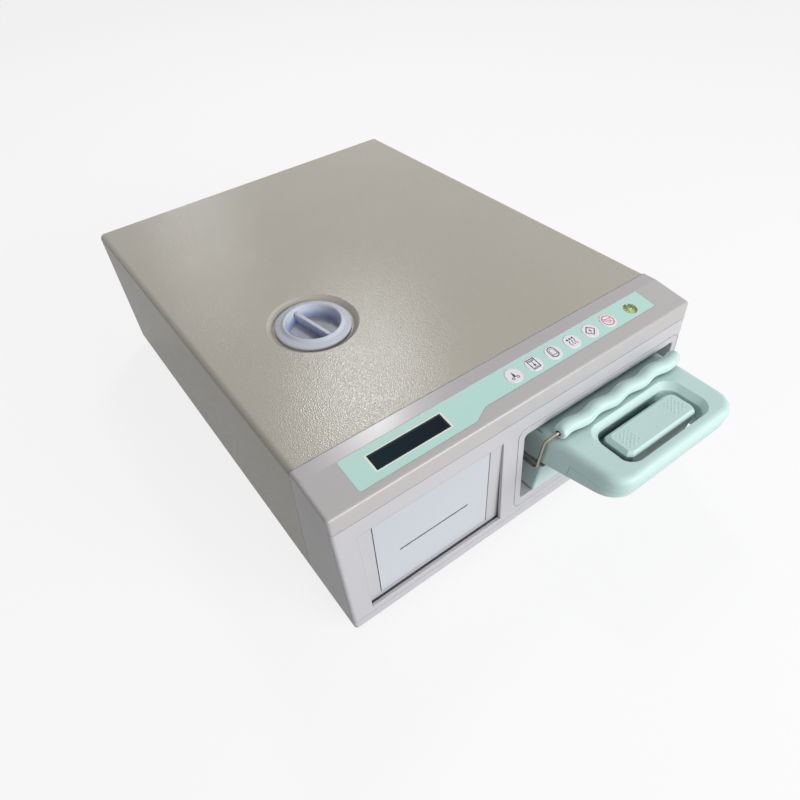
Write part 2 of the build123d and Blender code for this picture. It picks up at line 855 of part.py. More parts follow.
# Reservoir cap: flanged bowl with a finger bar across it
cap_seat = body_height - dish_drop + seam
cap_top = cap_seat + cap_flange
cap_floor = cap_top - cap_depth
cap_plug_low = cap_floor - 8.0
groove_floor = cap_plug - 1.6
groove_height = neck_height - 4.0
bar_drop = 3.0
with BuildPart() as reservoir_cap:
    with BuildSketch(filler_plane(0)):
        Polygon(
            (0, cap_plug_low + 4),
            (cap_plug - 4, cap_plug_low + 4),
            (cap_plug - 4, cap_plug_low),
            (cap_plug, cap_plug_low),
            (cap_plug, groove_height - 1.1),
            (groove_floor, groove_height - 1.1),
            (groove_floor, groove_height + 1.1),
            (cap_plug, groove_height + 1.1),
            (cap_plug, cap_seat),
            (cap_radius, cap_seat),
            (cap_radius, cap_seat + cap_edge - 0.9),
            (cap_radius - 0.9, cap_seat + cap_edge),
            (cap_ring + 1.4, cap_seat + cap_edge + 1.2),
            (cap_ring, cap_top - 0.8),
            (cap_ring - 0.8, cap_top),
            (cap_bowl + 1.1, cap_top),
            (cap_bowl, cap_top - 1.2),
            (cap_bowl - 3, cap_floor),
            (0, cap_floor),
        )
    revolve(axis=filler_axis)
    bar_plane = Plane(origin=(filler_x, back(filler_depth), up(cap_floor)), z_dir=(0, 0, 1), x_dir=(1, 0, 0))
    with BuildSketch(bar_plane):
        with Locations(Location((0, 0), 90 + cap_bar_turn)):
            Rectangle(2 * cap_bowl - 4, cap_bar_width)
    extrude(amount=cap_depth - bar_drop)
    bar_tops = reservoir_cap.faces().filter_by(Axis.Z).filter_by(
        lambda f: abs(f.center().Z - up(cap_top - bar_drop)) < 0.01
    ).edges().filter_by(lambda e: e.length > cap_bowl)
    fillet(bar_tops, radius=0.8)
keep(reservoir_cap, "reservoir_cap")

# O-ring in the cap's groove
with BuildPart() as cap_seal:
    with BuildSketch(filler_plane(groove_height)):
        with Locations((neck_radius - oring_radius - 0.08, 0)):
            Circle(oring_radius)
    revolve(axis=filler_axis)
keep(cap_seal, "cap_seal")

# Water sensor on the tank's rear corner
sensor_x = tank_left + 40
sensor_depth = tank_back - 45
with BuildPart() as water_sensor:
    upright_rod(sensor_x, sensor_depth, (tank_top + seam, tank_top + 3.3), 11.0)
    upright_rod(sensor_x, sensor_depth, (tank_top + 3, tank_top + 10), 6.0)
    block((sensor_x + 5, sensor_x + 14), (sensor_depth - 3, sensor_depth + 3), (tank_top + 5, tank_top + 9))
keep(water_sensor, "water_sensor")

# Cassette bay: square tube behind the slot, open in front, with runners on its floor
bay_low = slot_bottom - 2.0
bay_high = slot_top + bay_sheet
bay_front = slot_sleeve + seam
bay_back = bay_front + bay_length
tray_left = cassette_x - tray_width / 2
tray_right = cassette_x + tray_width / 2
tray_front = -tray_reach
tray_back = tray_front + tray_length
tray_top = tray_floor + tray_depth
lid_low = tray_top + seal_height
lid_top = lid_low + lid_depth
port_positions = [cassette_x + port_pitch * number for number in (-1, 0, 1)]
runner_top = tray_floor - seam
port_hole = (cassette_x - port_pitch - 12, cassette_x + port_pitch + 12)
port_span = (port_height - 12, port_height + 12)
with BuildPart() as bay_shell:
    block(
        (bay_left - bay_sheet, bay_right + bay_sheet),
        (bay_front, bay_back + bay_sheet),
        (bay_low - bay_sheet, bay_high + bay_sheet),
    )
    fillet(bay_shell.edges().filter_by(Axis.Y), radius=4.0)
    with BuildSketch(at_depth(bay_back)):
        elevation((bay_left, bay_right), (bay_low, bay_high), 4.0 - bay_sheet)
    extrude(amount=bay_length + 1, mode=Mode.SUBTRACT)
    with BuildSketch(at_depth(bay_back + bay_sheet + 1)):
        elevation(port_hole, port_span, 4.0)
    extrude(amount=bay_sheet + 2, mode=Mode.SUBTRACT)
    for x in (tray_left + 22, tray_right - 22):
        block((x - 4, x + 4), (handle_back + seat, bay_back - 12), (bay_low - 1, runner_top))
keep(bay_shell, "bay_shell")

# Side guides that centre the tray
guide_top = tray_floor + 19.5
with BuildPart() as side_guides:
    for low, high in ((bay_left + seat, tray_left - 0.4), (tray_right + 0.4, bay_right - seat)):
        block((low, high), (bay_front + 16, bay_back - 22), (bay_low + seat, guide_top))
    nose_edges = side_guides.edges().filter_by(Axis.Z).sort_by(Axis.Y)[:4]
    fillet(nose_edges, radius=4.0)
    wall_edges = side_guides.faces().sort_by(Axis.Z)[:2].edges().filter_by(
        lambda e: abs(e.center().X - cassette_x) > tray_width / 2 + 8
    )
    fillet(wall_edges, radius=3.0)
keep(side_guides, "side_guides")

# Insulation platens above and below the bay
platen_depth = (bay_front + 2, bay_back)
platen_x = (bay_left + 10, bay_right - 10)
platen_top = bay_high + bay_sheet + 14.0
with BuildPart() as upper_platen:
    block(platen_x, platen_depth, (bay_high + bay_sheet + seat, platen_top))
    fillet(upper_platen.edges().filter_by(Axis.Z), radius=6.0)
    with BuildSketch(at_height(platen_top)):
        with Locations((cassette_x, back(sum(platen_depth) / 2))):
            with GridLocations(60, 59, 3, 6):
                RectangleRounded(50, 50, 5)
    extrude(amount=-8.0, mode=Mode.SUBTRACT)
keep(upper_platen, "upper_platen")

with BuildPart() as lower_platen:
    block(platen_x, platen_depth, (pan_top, bay_low - bay_sheet - seat))
    fillet(lower_platen.edges().filter_by(Axis.Z), radius=6.0)
    with BuildSketch(at_height(pan_top)):
        with Locations((cassette_x, back(sum(platen_depth) / 2))):
            with GridLocations(60, 59, 3, 6):
                RectangleRounded(50, 50, 5)
    extrude(amount=10.0, mode=Mode.SUBTRACT)
keep(lower_platen, "lower_platen")

# Probe bracket behind the bay and the three steam probes it holds
bracket_front = bay_back + bay_sheet + seam
bracket_back = bracket_front + 18
with BuildPart() as probe_bracket:
    with BuildSketch(at_depth(bracket_back)):
        elevation((port_hole[0] - 10, port_hole[1] + 10), (pan_top, port_span[1] + 8), 3.0)
    extrude(amount=bracket_back - bracket_front)
    with BuildSketch(at_depth(bracket_back + 1)):
        elevation((port_hole[0] + 2, port_hole[1] - 2), (pan_top + 8, port_span[0] - 2), 3.0)
        with Locations(*[(x, up(port_height)) for x in port_positions]):
            Circle(probe_radius + 0.05)
    extrude(amount=bracket_back - bracket_front + 2, mode=Mode.SUBTRACT)
keep(probe_bracket, "probe_bracket")

probe_tip = tray_back - 10
probe_end = bracket_back + 10
with BuildPart() as steam_probes:
    for x in port_positions:
        long_rod(x, (probe_tip, probe_end), port_height, probe_radius)
        long_rod(x, (bracket_back + seam, bracket_back + 3), port_height, probe_radius + 2.5)
        long_rod(x, (probe_tip - 1, probe_tip + 24), port_height, probe_radius - 1.2, Mode.SUBTRACT)
    tips = steam_probes.edges().filter_by(GeomType.CIRCLE).sort_by(Axis.Y)[:6].filter_by(
        lambda e: abs(e.radius - probe_radius) < 0.01
    )
    chamfer(tips, length=0.6)
keep(steam_probes, "steam_probes")

# Cassette tray: drawn steel pan with a rim flange, pivot bosses and rear ports
pan_x = (tray_left, tray_right)
pan_y = (tray_front, tray_back)
port_seat = 6.0
boss_radius = 4.2
pivot_bore = wire_radius + pivot_clearance
boss_face = wire_x + wire_radius + 0.45


def pan_outline(grow, mode=Mode.ADD):
    """Outline of the tray or lid, grown outwards or shrunk inwards."""
    plan(
        (pan_x[0] - grow, pan_x[1] + grow),
        (pan_y[0] - grow, pan_y[1] + grow),
        pan_corner + grow,
        mode,
    )


def rim_outline():
    """Outline of a rim flange, cut short in front where the handle's block sits."""
    pan_outline(rim_width)
    plan(
        (pan_x[0] - 2 * rim_width, pan_x[1] + 2 * rim_width),
        (tray_front - 2 * rim_width, tray_front + rim_start),
        0,
        Mode.SUBTRACT,
    )


with BuildPart() as cassette_tray:
    with BuildSketch(at_height(tray_floor)):
        pan_outline(0)
    extrude(amount=tray_depth)
    fillet(cassette_tray.faces().sort_by(Axis.Z)[0].edges(), radius=pan_fillet)
    offset(amount=-pan_wall, openings=cassette_tray.faces().sort_by(Axis.Z)[-1])
    with BuildSketch(at_height(tray_top)):
        rim_outline()
        pan_outline(-pan_wall / 2, Mode.SUBTRACT)
    extrude(amount=-pan_wall)
    for start, end in ((boss_face, tray_left + 1), (tray_right - 1, 2 * cassette_x - boss_face)):
        cross_rod((start, end), bail_pivot_depth, bail_pivot_height, boss_radius)
    block(
        (boss_face - 1, 2 * cassette_x - boss_face + 1),
        (bail_pivot_depth - 2 * boss_radius, bail_pivot_depth + 2 * boss_radius),
        (tray_top, bail_pivot_height + 2 * boss_radius),
        Mode.SUBTRACT,
    )
    for x in port_positions:
        long_rod(x, (tray_back - 4, tray_back + 1), port_height, port_seat, Mode.SUBTRACT)
    for start, end in ((boss_face - 1, tray_left - 0.6), (tray_right + 0.6, 2 * cassette_x - boss_face + 1)):
        cross_rod((start, end), bail_pivot_depth, bail_pivot_height, pivot_bore, Mode.SUBTRACT)
keep(cassette_tray, "cassette_tray")

# Cassette lid: the same pan upside down, with pressed ribs and two rear hooks
with BuildPart() as cassette_lid:
    with BuildSketch(at_height(lid_low)):
        pan_outline(0)
    extrude(amount=lid_depth)
    fillet(cassette_lid.faces().sort_by(Axis.Z)[-1].edges(), radius=pan_fillet)
    offset(amount=-pan_wall, openings=cassette_lid.faces().sort_by(Axis.Z)[0])
    with BuildSketch(at_height(lid_low)):
        rim_outline()
        pan_outline(-pan_wall / 2, Mode.SUBTRACT)
    extrude(amount=pan_wall)
    with BuildSketch(at_height(lid_top - pan_wall / 2)):
        with Locations((cassette_x, back(tray_back / 2 + 20))):
            with GridLocations(0, 60, 1, 5):
                SlotOverall(tray_width - 50, 8)
    extrude(amount=pan_wall / 2 + 0.9)
    for x in (cassette_x - 45, cassette_x + 45):
        block((x - 7, x + 7), (tray_back - pan_wall, tray_back + 4), (lid_low, lid_low + 1.6))
        block((x - 7, x + 7), (tray_back + 2.6, tray_back + 4), (lid_low - 9, lid_low + 1.6))
keep(cassette_lid, "cassette_lid")

# Silicone seal between the two rims
with BuildPart() as cassette_seal:
    with BuildSketch(at_height(tray_top)):
        rim_outline()
        pan_outline(0)
        pan_outline(-pan_wall - 2.5, Mode.SUBTRACT)
    extrude(amount=seal_height)
keep(cassette_seal, "cassette_seal")

# Instrument rack: slotted plate on short legs inside the tray
rack_height = tray_floor + pan_wall + 3.5
rack_inset = pan_wall + 6.0
with BuildPart() as instrument_rack:
    with BuildSketch(at_height(rack_height)):
        pan_outline(-rack_inset)
        with Locations((cassette_x, back((tray_front + tray_back) / 2))):
            with GridLocations(44, 36, 3, 9):
                SlotOverall(34, 9, mode=Mode.SUBTRACT)
    extrude(amount=pan_sheet)
    for x in (tray_left + 22, tray_right - 22):
        for depth in (tray_front + 22, tray_back - 32):
            upright_rod(x, depth, (tray_floor + pan_wall + seat, rack_height + 1), 3.0)
keep(instrument_rack, "instrument_rack")

# Port seals in the tray's rear wall, each a running fit on its probe
with BuildPart() as port_seals:
    for x in port_positions:
        long_rod(x, (tray_back - pan_wall - 2, tray_back + 2.2), port_height, port_seat - 0.05)
        long_rod(x, (tray_back - pan_wall - 2, tray_back - pan_wall - seat), port_height, port_seat + 2)
        long_rod(
            x, (tray_back - 10, tray_back + 10), port_height, probe_radius + probe_clearance, Mode.SUBTRACT
        )
keep(port_seals, "port_seals")

# Handle mouldings: shared limits
handle_left = cassette_x - handle_width / 2
handle_right = cassette_x + handle_width / 2
pocket_x = (tray_left - seam, tray_right + seam)
pocket_front = tray_front - seam
arm_x = (cassette_x - 36, cassette_x + 36)
pad_x = (cassette_x - pad_width / 2, cassette_x + pad_width / 2)
pad_rear = -opening_rear - pad_setback
pad_front = pad_rear - pad_length
pad_skirt = 3.0
skirt_depth = 25.0
pad_edge = 4.0
arm_root = 16.0
lid_block_low = handle_split + 2.1

# Tray handle: block on the tray's front wall, arm under the lid's handle and thumb pad
with BuildPart() as tray_handle:
    with BuildSketch(at_x(handle_left)):
        side(
            (handle_back, handle_foot),
            (handle_back, handle_split),
            (face(handle_split) - 8.0, handle_split),
            (face(handle_foot) - 0.5, handle_foot + 6),
            (face(handle_foot) - 0.5, handle_foot),
        )
    extrude(amount=handle_width)
    upright_edges = tray_handle.edges().filter_by(
        lambda e: abs(abs(e.center().X - cassette_x) - handle_width / 2) < 0.01
        and e.center().Y < back(face(handle_foot)) + 8
    )
    fillet(upright_edges, radius=2.5)
    with BuildSketch(at_x(arm_x[0])):
        side(
            (-arm_root, handle_split - 17),
            (-arm_root, handle_split),
            (face(handle_split) - 9.0, handle_split),
            (-opening_rear, handle_top - 20),
            (pad_rear + 1.8, handle_top - 14),
            (pad_front - 1, handle_top - 14),
            (pad_front - 2, handle_top - 19),
            (pad_rear - 2.2, handle_split + 4.5),
        )
    extrude(amount=arm_x[1] - arm_x[0])
    with BuildSketch(at_height(handle_top - skirt_depth)) as skirt:
        plan((pad_x[0] - pad_skirt, pad_x[1] + pad_skirt), (pad_front - pad_skirt, pad_rear + pad_skirt))
        chamfer(skirt.vertices(), length=4.0)
    extrude(amount=skirt_depth - pad_edge)
    with BuildSketch(at_height(handle_top - pad_edge)) as pad_base:
        plan((pad_x[0] - pad_skirt, pad_x[1] + pad_skirt), (pad_front - pad_skirt, pad_rear + pad_skirt))
        chamfer(pad_base.vertices(), length=4.0)
    with BuildSketch(at_height(handle_top)) as pad_face:
        plan(pad_x, (pad_front, pad_rear))
        chamfer(pad_face.vertices(), length=3.0)
    loft()
    with BuildSketch(at_height(tray_floor - seam)):
        plan(pocket_x, (pocket_front, handle_back + 5), 0)
    extrude(amount=tray_depth + 5, mode=Mode.SUBTRACT)
keep(tray_handle, "tray_handle")

# Lid handle: tapering grip with a window, split into an upper moulding and a lower cover
grip_front = -handle_reach
taper_depth = -70.0
taper_start = -18.0
block_front = -16.5
underside_rise = 14.0
underside_run = block_front - grip_front + 5


def underside(y):
    """Z of the grip's rising underside."""
    return up(lid_block_low) + (back(block_front) - y) * underside_rise / underside_run


with BuildPart() as grip_form:
    with BuildSketch(at_height(handle_split)) as grip_outline:
        Polygon(
            (handle_left, back(handle_back)),
            (handle_left, back(taper_start)),
            (handle_left + handle_taper * 0.75, back(taper_depth)),
            (handle_left + handle_taper + 1.5, back(grip_front)),
            (handle_right - handle_taper_right - 1.5, back(grip_front)),
            (handle_right - handle_taper_right * 0.75, back(taper_depth)),
            (handle_right, back(taper_start)),
            (handle_right, back(handle_back)),
        )
        fillet(grip_outline.vertices().group_by(Axis.Y)[0], radius=handle_corner)
    extrude(amount=handle_top - handle_split)
    with BuildSketch(at_x(handle_left - 5)):
        side(
            (handle_back + 5, handle_split - 5),
            (handle_back + 5, lid_block_low),
            (block_front, lid_block_low),
            (grip_front - 5, lid_block_low + underside_rise),
            (grip_front - 5, handle_split - 5),
        )
    extrude(amount=handle_width + 10, mode=Mode.SUBTRACT)
    top_edges = grip_form.faces().sort_by(Axis.Z)[-1].edges().filter_by(
        lambda e: e.center().Y < back(handle_back) - 1
    )
    fillet(top_edges, radius=8.0)
    low_edges = grip_form.edges().filter_by(
        lambda e: e.center().Y < back(block_front) - 0.5
        and e.length > 15
        and abs(e.center().Z - underside(e.center().Y)) < 1.2
    )
    fillet(low_edges, radius=4.0)
    opening_x_limits = (opening_x - opening_width / 2, opening_x + opening_width / 2)
    with BuildSketch(at_height(handle_split)):
        plan(opening_x_limits, (-opening_front, -opening_rear), opening_radius)
    extrude(amount=handle_top - handle_split + 1, mode=Mode.SUBTRACT)
    with BuildSketch(at_height(handle_top - 5)):
        plan(opening_x_limits, (-opening_front, -opening_rear), opening_radius)
    with BuildSketch(at_height(handle_top + 0.01)):
        plan(
            (opening_x_limits[0] - opening_rim, opening_x_limits[1] + opening_rim),
            (-opening_front - 0.5, -opening_rear + opening_rim),
            opening_radius + opening_rim / 2,
        )
    loft(mode=Mode.SUBTRACT)
    block(
        (arm_x[0] - 8, arm_x[1] + 8),
        (-opening_rear - 1, -arm_root - 2.5),
        (handle_split, handle_top - 18),
        Mode.SUBTRACT,
    )
    block(pocket_x, (pocket_front, handle_back + 5), (handle_split, lid_top + seam), Mode.SUBTRACT)

cover_start = -45.0
with BuildPart() as lid_handle:
    add(grip_form.part)
    block(
        (handle_left - 5, handle_right + 5),
        (grip_front - 5, cover_start + seat),
        (handle_split, parting_height + seat),
        Mode.SUBTRACT,
    )
keep(lid_handle, "lid_handle")

with BuildPart() as handle_cover:
    add(grip_form.part)
    block(
        (handle_left - 5, handle_right + 5),
        (grip_front - 5, cover_start),
        (handle_split, parting_height),
        Mode.INTERSECT,
    )
keep(handle_cover, "handle_cover")

# Wire bail, one bent wire from pivot to pivot through the grip
wire_rise_depth = face(handle_split) - 4.4
wire_shoulder = wire_x + 8
wire_tip = tray_left - 0.9


def mirrored(route):
    """A route and its mirror image about the cassette's middle."""
    return route + [(2 * cassette_x - x, y, z) for x, y, z in reversed(route)]


with BuildPart() as bail_wire:
    with BuildLine() as wire_path:
        route = [
            point(wire_tip, bail_pivot_depth, bail_pivot_height),
            point(wire_x, bail_pivot_depth, bail_pivot_height),
            point(wire_x, wire_rise_depth, bail_pivot_height),
            point(wire_x, wire_rise_depth, bail_grip_height - 11),
            point(wire_shoulder, bail_grip_depth, bail_grip_height),
        ]
        bends = [wire_radius + 0.35, 4.5, 10.0, 5.0]
        FilletPolyline(*mirrored(route), radius=bends + bends[::-1])
    with BuildSketch(Plane(origin=wire_path.line @ 0, z_dir=wire_path.line % 0)):
        Circle(wire_radius)
    sweep()
keep(bail_wire, "bail_wire")

# Bail grip: a wavy round moulding on the wire
section_count = 33
wave_start = cassette_x - 11.4
with BuildPart() as bail_grip:
    for index in range(section_count):
        share = index / (section_count - 1)
        x = cassette_x + grip_length * (share - 0.5)
        edge_distance = min(share, 1 - share) * grip_length
        round_end = min(1.0, edge_distance / 5.0)
        radius = grip_radius * (0.55 + 0.45 * (1 - (1 - round_end) ** 2) ** 0.5)
        wave = -grip_wave * cos(2 * pi * (x - wave_start) / grip_wavelength)
        with BuildSketch(at_x(x)):
            with Locations((back(bail_grip_depth) + wave, up(bail_grip_height))):
                Circle(radius)
    loft()
    cross_rod(
        (handle_left - 20, handle_right + 20),
        bail_grip_depth,
        bail_grip_height,
        wire_radius + wire_clearance,
        Mode.SUBTRACT,
    )
    for low, high in ((-1, 5), (grip_length - 5, grip_length + 1)):
        start = cassette_x - grip_length / 2
        cross_rod(
            (start + low, start + high), bail_grip_depth, bail_grip_height, wire_radius + 1.2, Mode.SUBTRACT
        )
keep(bail_grip, "bail_grip")

# Printer mechanism behind the door: cradle, paper spindle, print head and platen
printer_x = (door_left + door_right) / 2
cradle_wall = 2.5
cradle_half = paper_width / 2 + seam * 2
roll_depth = 32.0
roll_height = 70.0
cradle_low = 30.0
cradle_high = 100.0
cradle_back = roll_depth + paper_radius + 3
slit_height = up(recess_bottom) + door_top * 0.47 * cos(recess_angle) - foot_height
platen_depth_y = face(slit_height) + 14.0


def recess_back(height):
    """Depth just behind the recess backing at a height."""
    share = (recess_top - height) / (recess_top - recess_bottom)
    floor_depth = recess_top_depth + (recess_depth - recess_top_depth) * share
    return face(height) + floor_depth + recess_backing + seat


with BuildPart() as printer_mechanism:
    for x in (printer_x - cradle_half - cradle_wall, printer_x + cradle_half):
        with BuildSketch(at_x(x)):
            side(
                (recess_back(cradle_low) + 0.3, cradle_low),
                (recess_back(cradle_high) + 0.3, cradle_high),
                (roll_depth, cradle_high),
                (cradle_back, roll_height),
                (cradle_back, cradle_low),
            )
        extrude(amount=cradle_wall)
    block(
        (printer_x - cradle_half - cradle_wall, printer_x + cradle_half + cradle_wall),
        (recess_back(cradle_low) + 0.3, cradle_back),
        (cradle_low, cradle_low + cradle_wall),
    )
    cross_rod(
        (printer_x - cradle_half - 1, printer_x + cradle_half + 1), roll_depth, roll_height, spindle_radius
    )
    cross_rod(
        (printer_x - cradle_half - 1, printer_x + cradle_half + 1), platen_depth_y, slit_height - 5, 4.5
    )
    block(
        (printer_x - cradle_half - 1, printer_x + cradle_half + 1),
        (platen_depth_y - 2, platen_depth_y + 3),
        (slit_height + 1, slit_height + 16),
    )
keep(printer_mechanism, "printer_mechanism")

with BuildPart() as paper_roll:
    cross_rod(
        (printer_x - paper_width / 2, printer_x + paper_width / 2), roll_depth, roll_height, paper_radius
    )
    cross_rod(
        (printer_x - paper_width, printer_x + paper_width),
        roll_depth,
        roll_height,
        spindle_radius + spindle_clearance,
        Mode.SUBTRACT,
    )
keep(paper_roll, "paper_roll")

# Steam boiler: upright domed vessel on three legs, with its band heater
boiler_x = port_positions[-1] + 36.0
boiler_depth = body_depth - 56.5
boiler_radius = 32.0
boiler_low = 12.0
boiler_high = 84.0
heater_low = 26.0
heater_high = 58.0
heater_wall = 2.8
with BuildPart() as boiler:
    with BuildSketch(
        Plane(origin=(boiler_x, back(boiler_depth), up(0)), x_dir=(1, 0, 0), z_dir=(0, -1, 0))
    ) as vessel:
        Polygon(
            (0, boiler_low),
            (boiler_radius, boiler_low),
            (boiler_radius, boiler_high),
            (5, boiler_high),
            (5, boiler_high + 8),
            (0, boiler_high + 8),
        )
        fillet(vessel.vertices().group_by(Axis.X)[-1], radius=9.0)
    revolve(axis=Axis((boiler_x, back(boiler_depth), 0), (0, 0, 1)))
    with BuildSketch(at_height(pan_top)):
        with Locations((boiler_x, back(boiler_depth))):
            with PolarLocations(boiler_radius - 15, 3):
                Circle(3.0)
    extrude(amount=boiler_low + 3 - pan_top)
keep(boiler, "boiler")

terminal_depth = (boiler_depth - boiler_radius - 10, boiler_depth - boiler_radius + 2)
with BuildPart() as boiler_heater:
    upright_rod(
        boiler_x, boiler_depth, (heater_low, heater_high), boiler_radius + seat + heater_wall
    )
    block((boiler_x - 6, boiler_x + 6), terminal_depth, (heater_low + 4, heater_high - 4))
    upright_rod(
        boiler_x, boiler_depth, (heater_low - 1, heater_high + 1), boiler_radius + seat, Mode.SUBTRACT
    )
    block(
        (boiler_x - 1, boiler_x + 1),
        (terminal_depth[0] - 1, terminal_depth[1] + 4),
        (heater_low - 1, heater_high + 1),
        Mode.SUBTRACT,
    )
keep(boiler_heater, "boiler_heater")

# Water pump and air compressor beside the bay
pump_x = (tank_left + 2.0, tank_left + 66.0)
pump_depth = tank_back + 52
with BuildPart() as water_pump:
    block((pump_x[0], pump_x[0] + 24), (pump_depth - 18, pump_depth + 18), (pan_top, pan_top + 40))
    fillet(water_pump.edges().filter_by(Axis.X), radius=4.0)
    cross_rod((pump_x[0] + 24, pump_x[1]), pump_depth, pan_top + 21, 16.0)
    block((pump_x[0] + 6, pump_x[1] - 4), (pump_depth - 14, pump_depth + 14), (pan_top, pan_top + 8))
    upright_rod(pump_x[0] + 12, pump_depth - 9, (pan_top + 38, pan_top + 50), 4.0)
    upright_rod(pump_x[0] + 12, pump_depth + 9, (pan_top + 38, pan_top + 50), 4.0)
keep(water_pump, "water_pump")

compressor_x = (pump_x[1] + 22.0, tank_right - 10.0)
compressor_depth = tank_back + 62
with BuildPart() as air_compressor:
    block(compressor_x, (compressor_depth - 24, compressor_depth + 24), (pan_top, pan_top + 10))
    cross_rod((compressor_x[0] + 3, compressor_x[1] - 24), compressor_depth, pan_top + 31, 22.5)
    block(
        (compressor_x[1] - 26, compressor_x[1] - 2),
        (compressor_depth - 16, compressor_depth + 16),
        (pan_top + 9, pan_top + 60),
    )
    for height in (22, 30, 38, 46, 54):
        block(
            (compressor_x[1] - 27, compressor_x[1] - 1),
            (compressor_depth - 19, compressor_depth + 19),
            (pan_top + height, pan_top + height + 2.5),
        )
    upright_rod(compressor_x[1] - 14, compressor_depth, (pan_top + 59, pan_top + 70), 4.0)
keep(air_compressor, "air_compressor")

# Valve block behind the probes, with two solenoid coils and pipe unions
valve_x = (cassette_x - 74.0, cassette_x - 10.0)
valve_depth = (bracket_back + 20, bracket_back + 54)
valve_high = pan_top + 26
with BuildPart() as valve_block:
    block(valve_x, valve_depth, (pan_top, valve_high))
    for x in (valve_x[0] + 16, valve_x[1] - 16):
        upright_rod(x, sum(valve_depth) / 2, (valve_high - 1, valve_high + 8), 7.0)
        block(
            (x - 12, x + 12),
            (sum(valve_depth) / 2 - 14, sum(valve_depth) / 2 + 14),
            (valve_high + 6, valve_high + 34),
        )
    upright_solenoids = valve_block.edges().filter_by(Axis.Z).filter_by(
        lambda e: e.center().Z > up(valve_high + 7)
    )
    fillet(upright_solenoids, radius=3.0)
keep(valve_block, "valve_block")

# Control board upright on the bay's left wall
board_x = bay_left - bay_sheet - 3.0
board_depth = (tank_back + 10, bay_back - 4)
board_span = (24.0, 118.0)
with BuildPart() as control_board:
    block((board_x - board_thickness, board_x), board_depth, board_span)
    for depth in (board_depth[0] + 6, board_depth[1] - 6):
        for height in (board_span[0] + 6, board_span[1] - 20):
            cross_rod((board_x - 0.5, board_x + 3 - seat), depth, height, 3.0)
    for height in (34, 52, 70, 88):
        block((board_x - 8, board_x - 1), (board_depth[0] + 12, board_depth[0] + 30), (height, height + 12))
    block((board_x - 14, board_x - 1), (board_depth[1] - 24, board_depth[1] - 8), (40, 90))
    cross_rod((board_x - 12, board_x - 1), board_depth[0] + 42, 104, 6.0)
keep(control_board, "control_board")

# Power supply in a vented metal case
supply_x = (tank_left, tank_left + 82.0)
supply_depth = (bracket_back + 4, bracket_back + 66)
supply_high = 52.0
with BuildPart() as power_supply:
    block(supply_x, supply_depth, (pan_top, supply_high))
    with BuildSketch(at_height(supply_high)):
        with Locations((sum(supply_x) / 2, back(sum(supply_depth) / 2))):
            with GridLocations(0, 8, 1, 5):
                SlotOverall(50, 3.6)
    extrude(amount=-2.0, mode=Mode.SUBTRACT)
    block(
        (supply_x[0] + 8, supply_x[1] - 8),
        (supply_depth[0] - 1, supply_depth[0] + 6),
        (pan_top + 20, pan_top + 32),
        Mode.SUBTRACT,
    )
keep(power_supply, "power_supply")

# Mains inlet with its socket and blades
inlet_flange = 3.0
inlet_body = 24.0
with BuildPart() as mains_inlet:
    with BuildSketch(at_depth(panel_rear + 1)):
        elevation(
            (inlet_x - inlet_width / 2 + seat, inlet_x + inlet_width / 2 - seat),
            (inlet_height - inlet_tall / 2 + seat, inlet_height + inlet_tall / 2 - seat),
            1.0,
        )
    extrude(amount=inlet_body + 1)
    with BuildSketch(at_depth(panel_rear + inlet_flange)):
        elevation(
            (inlet_x - inlet_width / 2 - 2.5, inlet_x + inlet_width / 2 + 2.5),
            (inlet_height - inlet_tall / 2 - 2.5, inlet_height + inlet_tall / 2 + 2.5),
            2.0,
        )
    extrude(amount=inlet_flange - seam / 3)
    with BuildSketch(at_depth(panel_rear + inlet_flange + 1)) as socket:
        elevation(
            (inlet_x - inlet_width / 2 + 2, inlet_x + inlet_width / 2 - 2),
            (inlet_height - inlet_tall / 2 + 2.2, inlet_height + inlet_tall / 2 - 2.2),
        )
        chamfer(socket.vertices().sort_by(Axis.Y)[-2:], length=4.5)
    extrude(amount=inlet_body - 2, mode=Mode.SUBTRACT)
    for x, offset_up in ((inlet_x - 7, -2), (inlet_x + 7, -2), (inlet_x, 2)):
        block(
            (x - 1, x + 1),
            (panel_rear - inlet_body + 1, panel_rear - 2),
            (inlet_height + offset_up - 2, inlet_height + offset_up + 2),
        )
keep(mains_inlet, "mains_inlet")

# Mains switch housing and its rocker on two pivot pins
rocker_depth = panel_rear + 1.0
rocker_pin = 1.2
rocker_turn = 10.0
rocker_half = 6.8
rocker_rise = 4.6
rocker_tip = 8.4
rocker_reach = hypot(rocker_rise, rocker_tip) + 0.4
switch_half = switch_width / 2
with BuildPart() as mains_switch:
    block(
        (switch_x - switch_half + seat, switch_x + switch_half - seat),
        (panel_rear - 18, panel_rear + 1),
        (switch_middle - switch_tall / 2 + seat, switch_middle + switch_tall / 2 - seat),
    )
    block(
        (switch_x - switch_half - 1.5, switch_x + switch_half + 1.5),
        (panel_rear + seam / 3, panel_rear + 2.4),
        (switch_middle - switch_tall / 2 - 1.5, switch_middle + switch_tall / 2 + 1.5),
    )
    bezel_corners = mains_switch.edges().filter_by(Axis.Y).filter_by(
        lambda e: abs(abs(e.center().X - switch_x) - switch_half - 1.5) < 0.01
    )
    fillet(bezel_corners, radius=1.4)
    block(
        (switch_x - rocker_half - 0.4, switch_x + rocker_half + 0.4),
        (rocker_depth - 9, rocker_depth + 10),
        (switch_middle - rocker_reach, switch_middle + rocker_reach),
        Mode.SUBTRACT,
    )
    cross_rod(
        (switch_x - rocker_half - 1.7, switch_x + rocker_half + 1.7),
        rocker_depth,
        switch_middle,
        rocker_pin + pin_clearance,
        Mode.SUBTRACT,
    )
keep(mains_switch, "mains_switch")

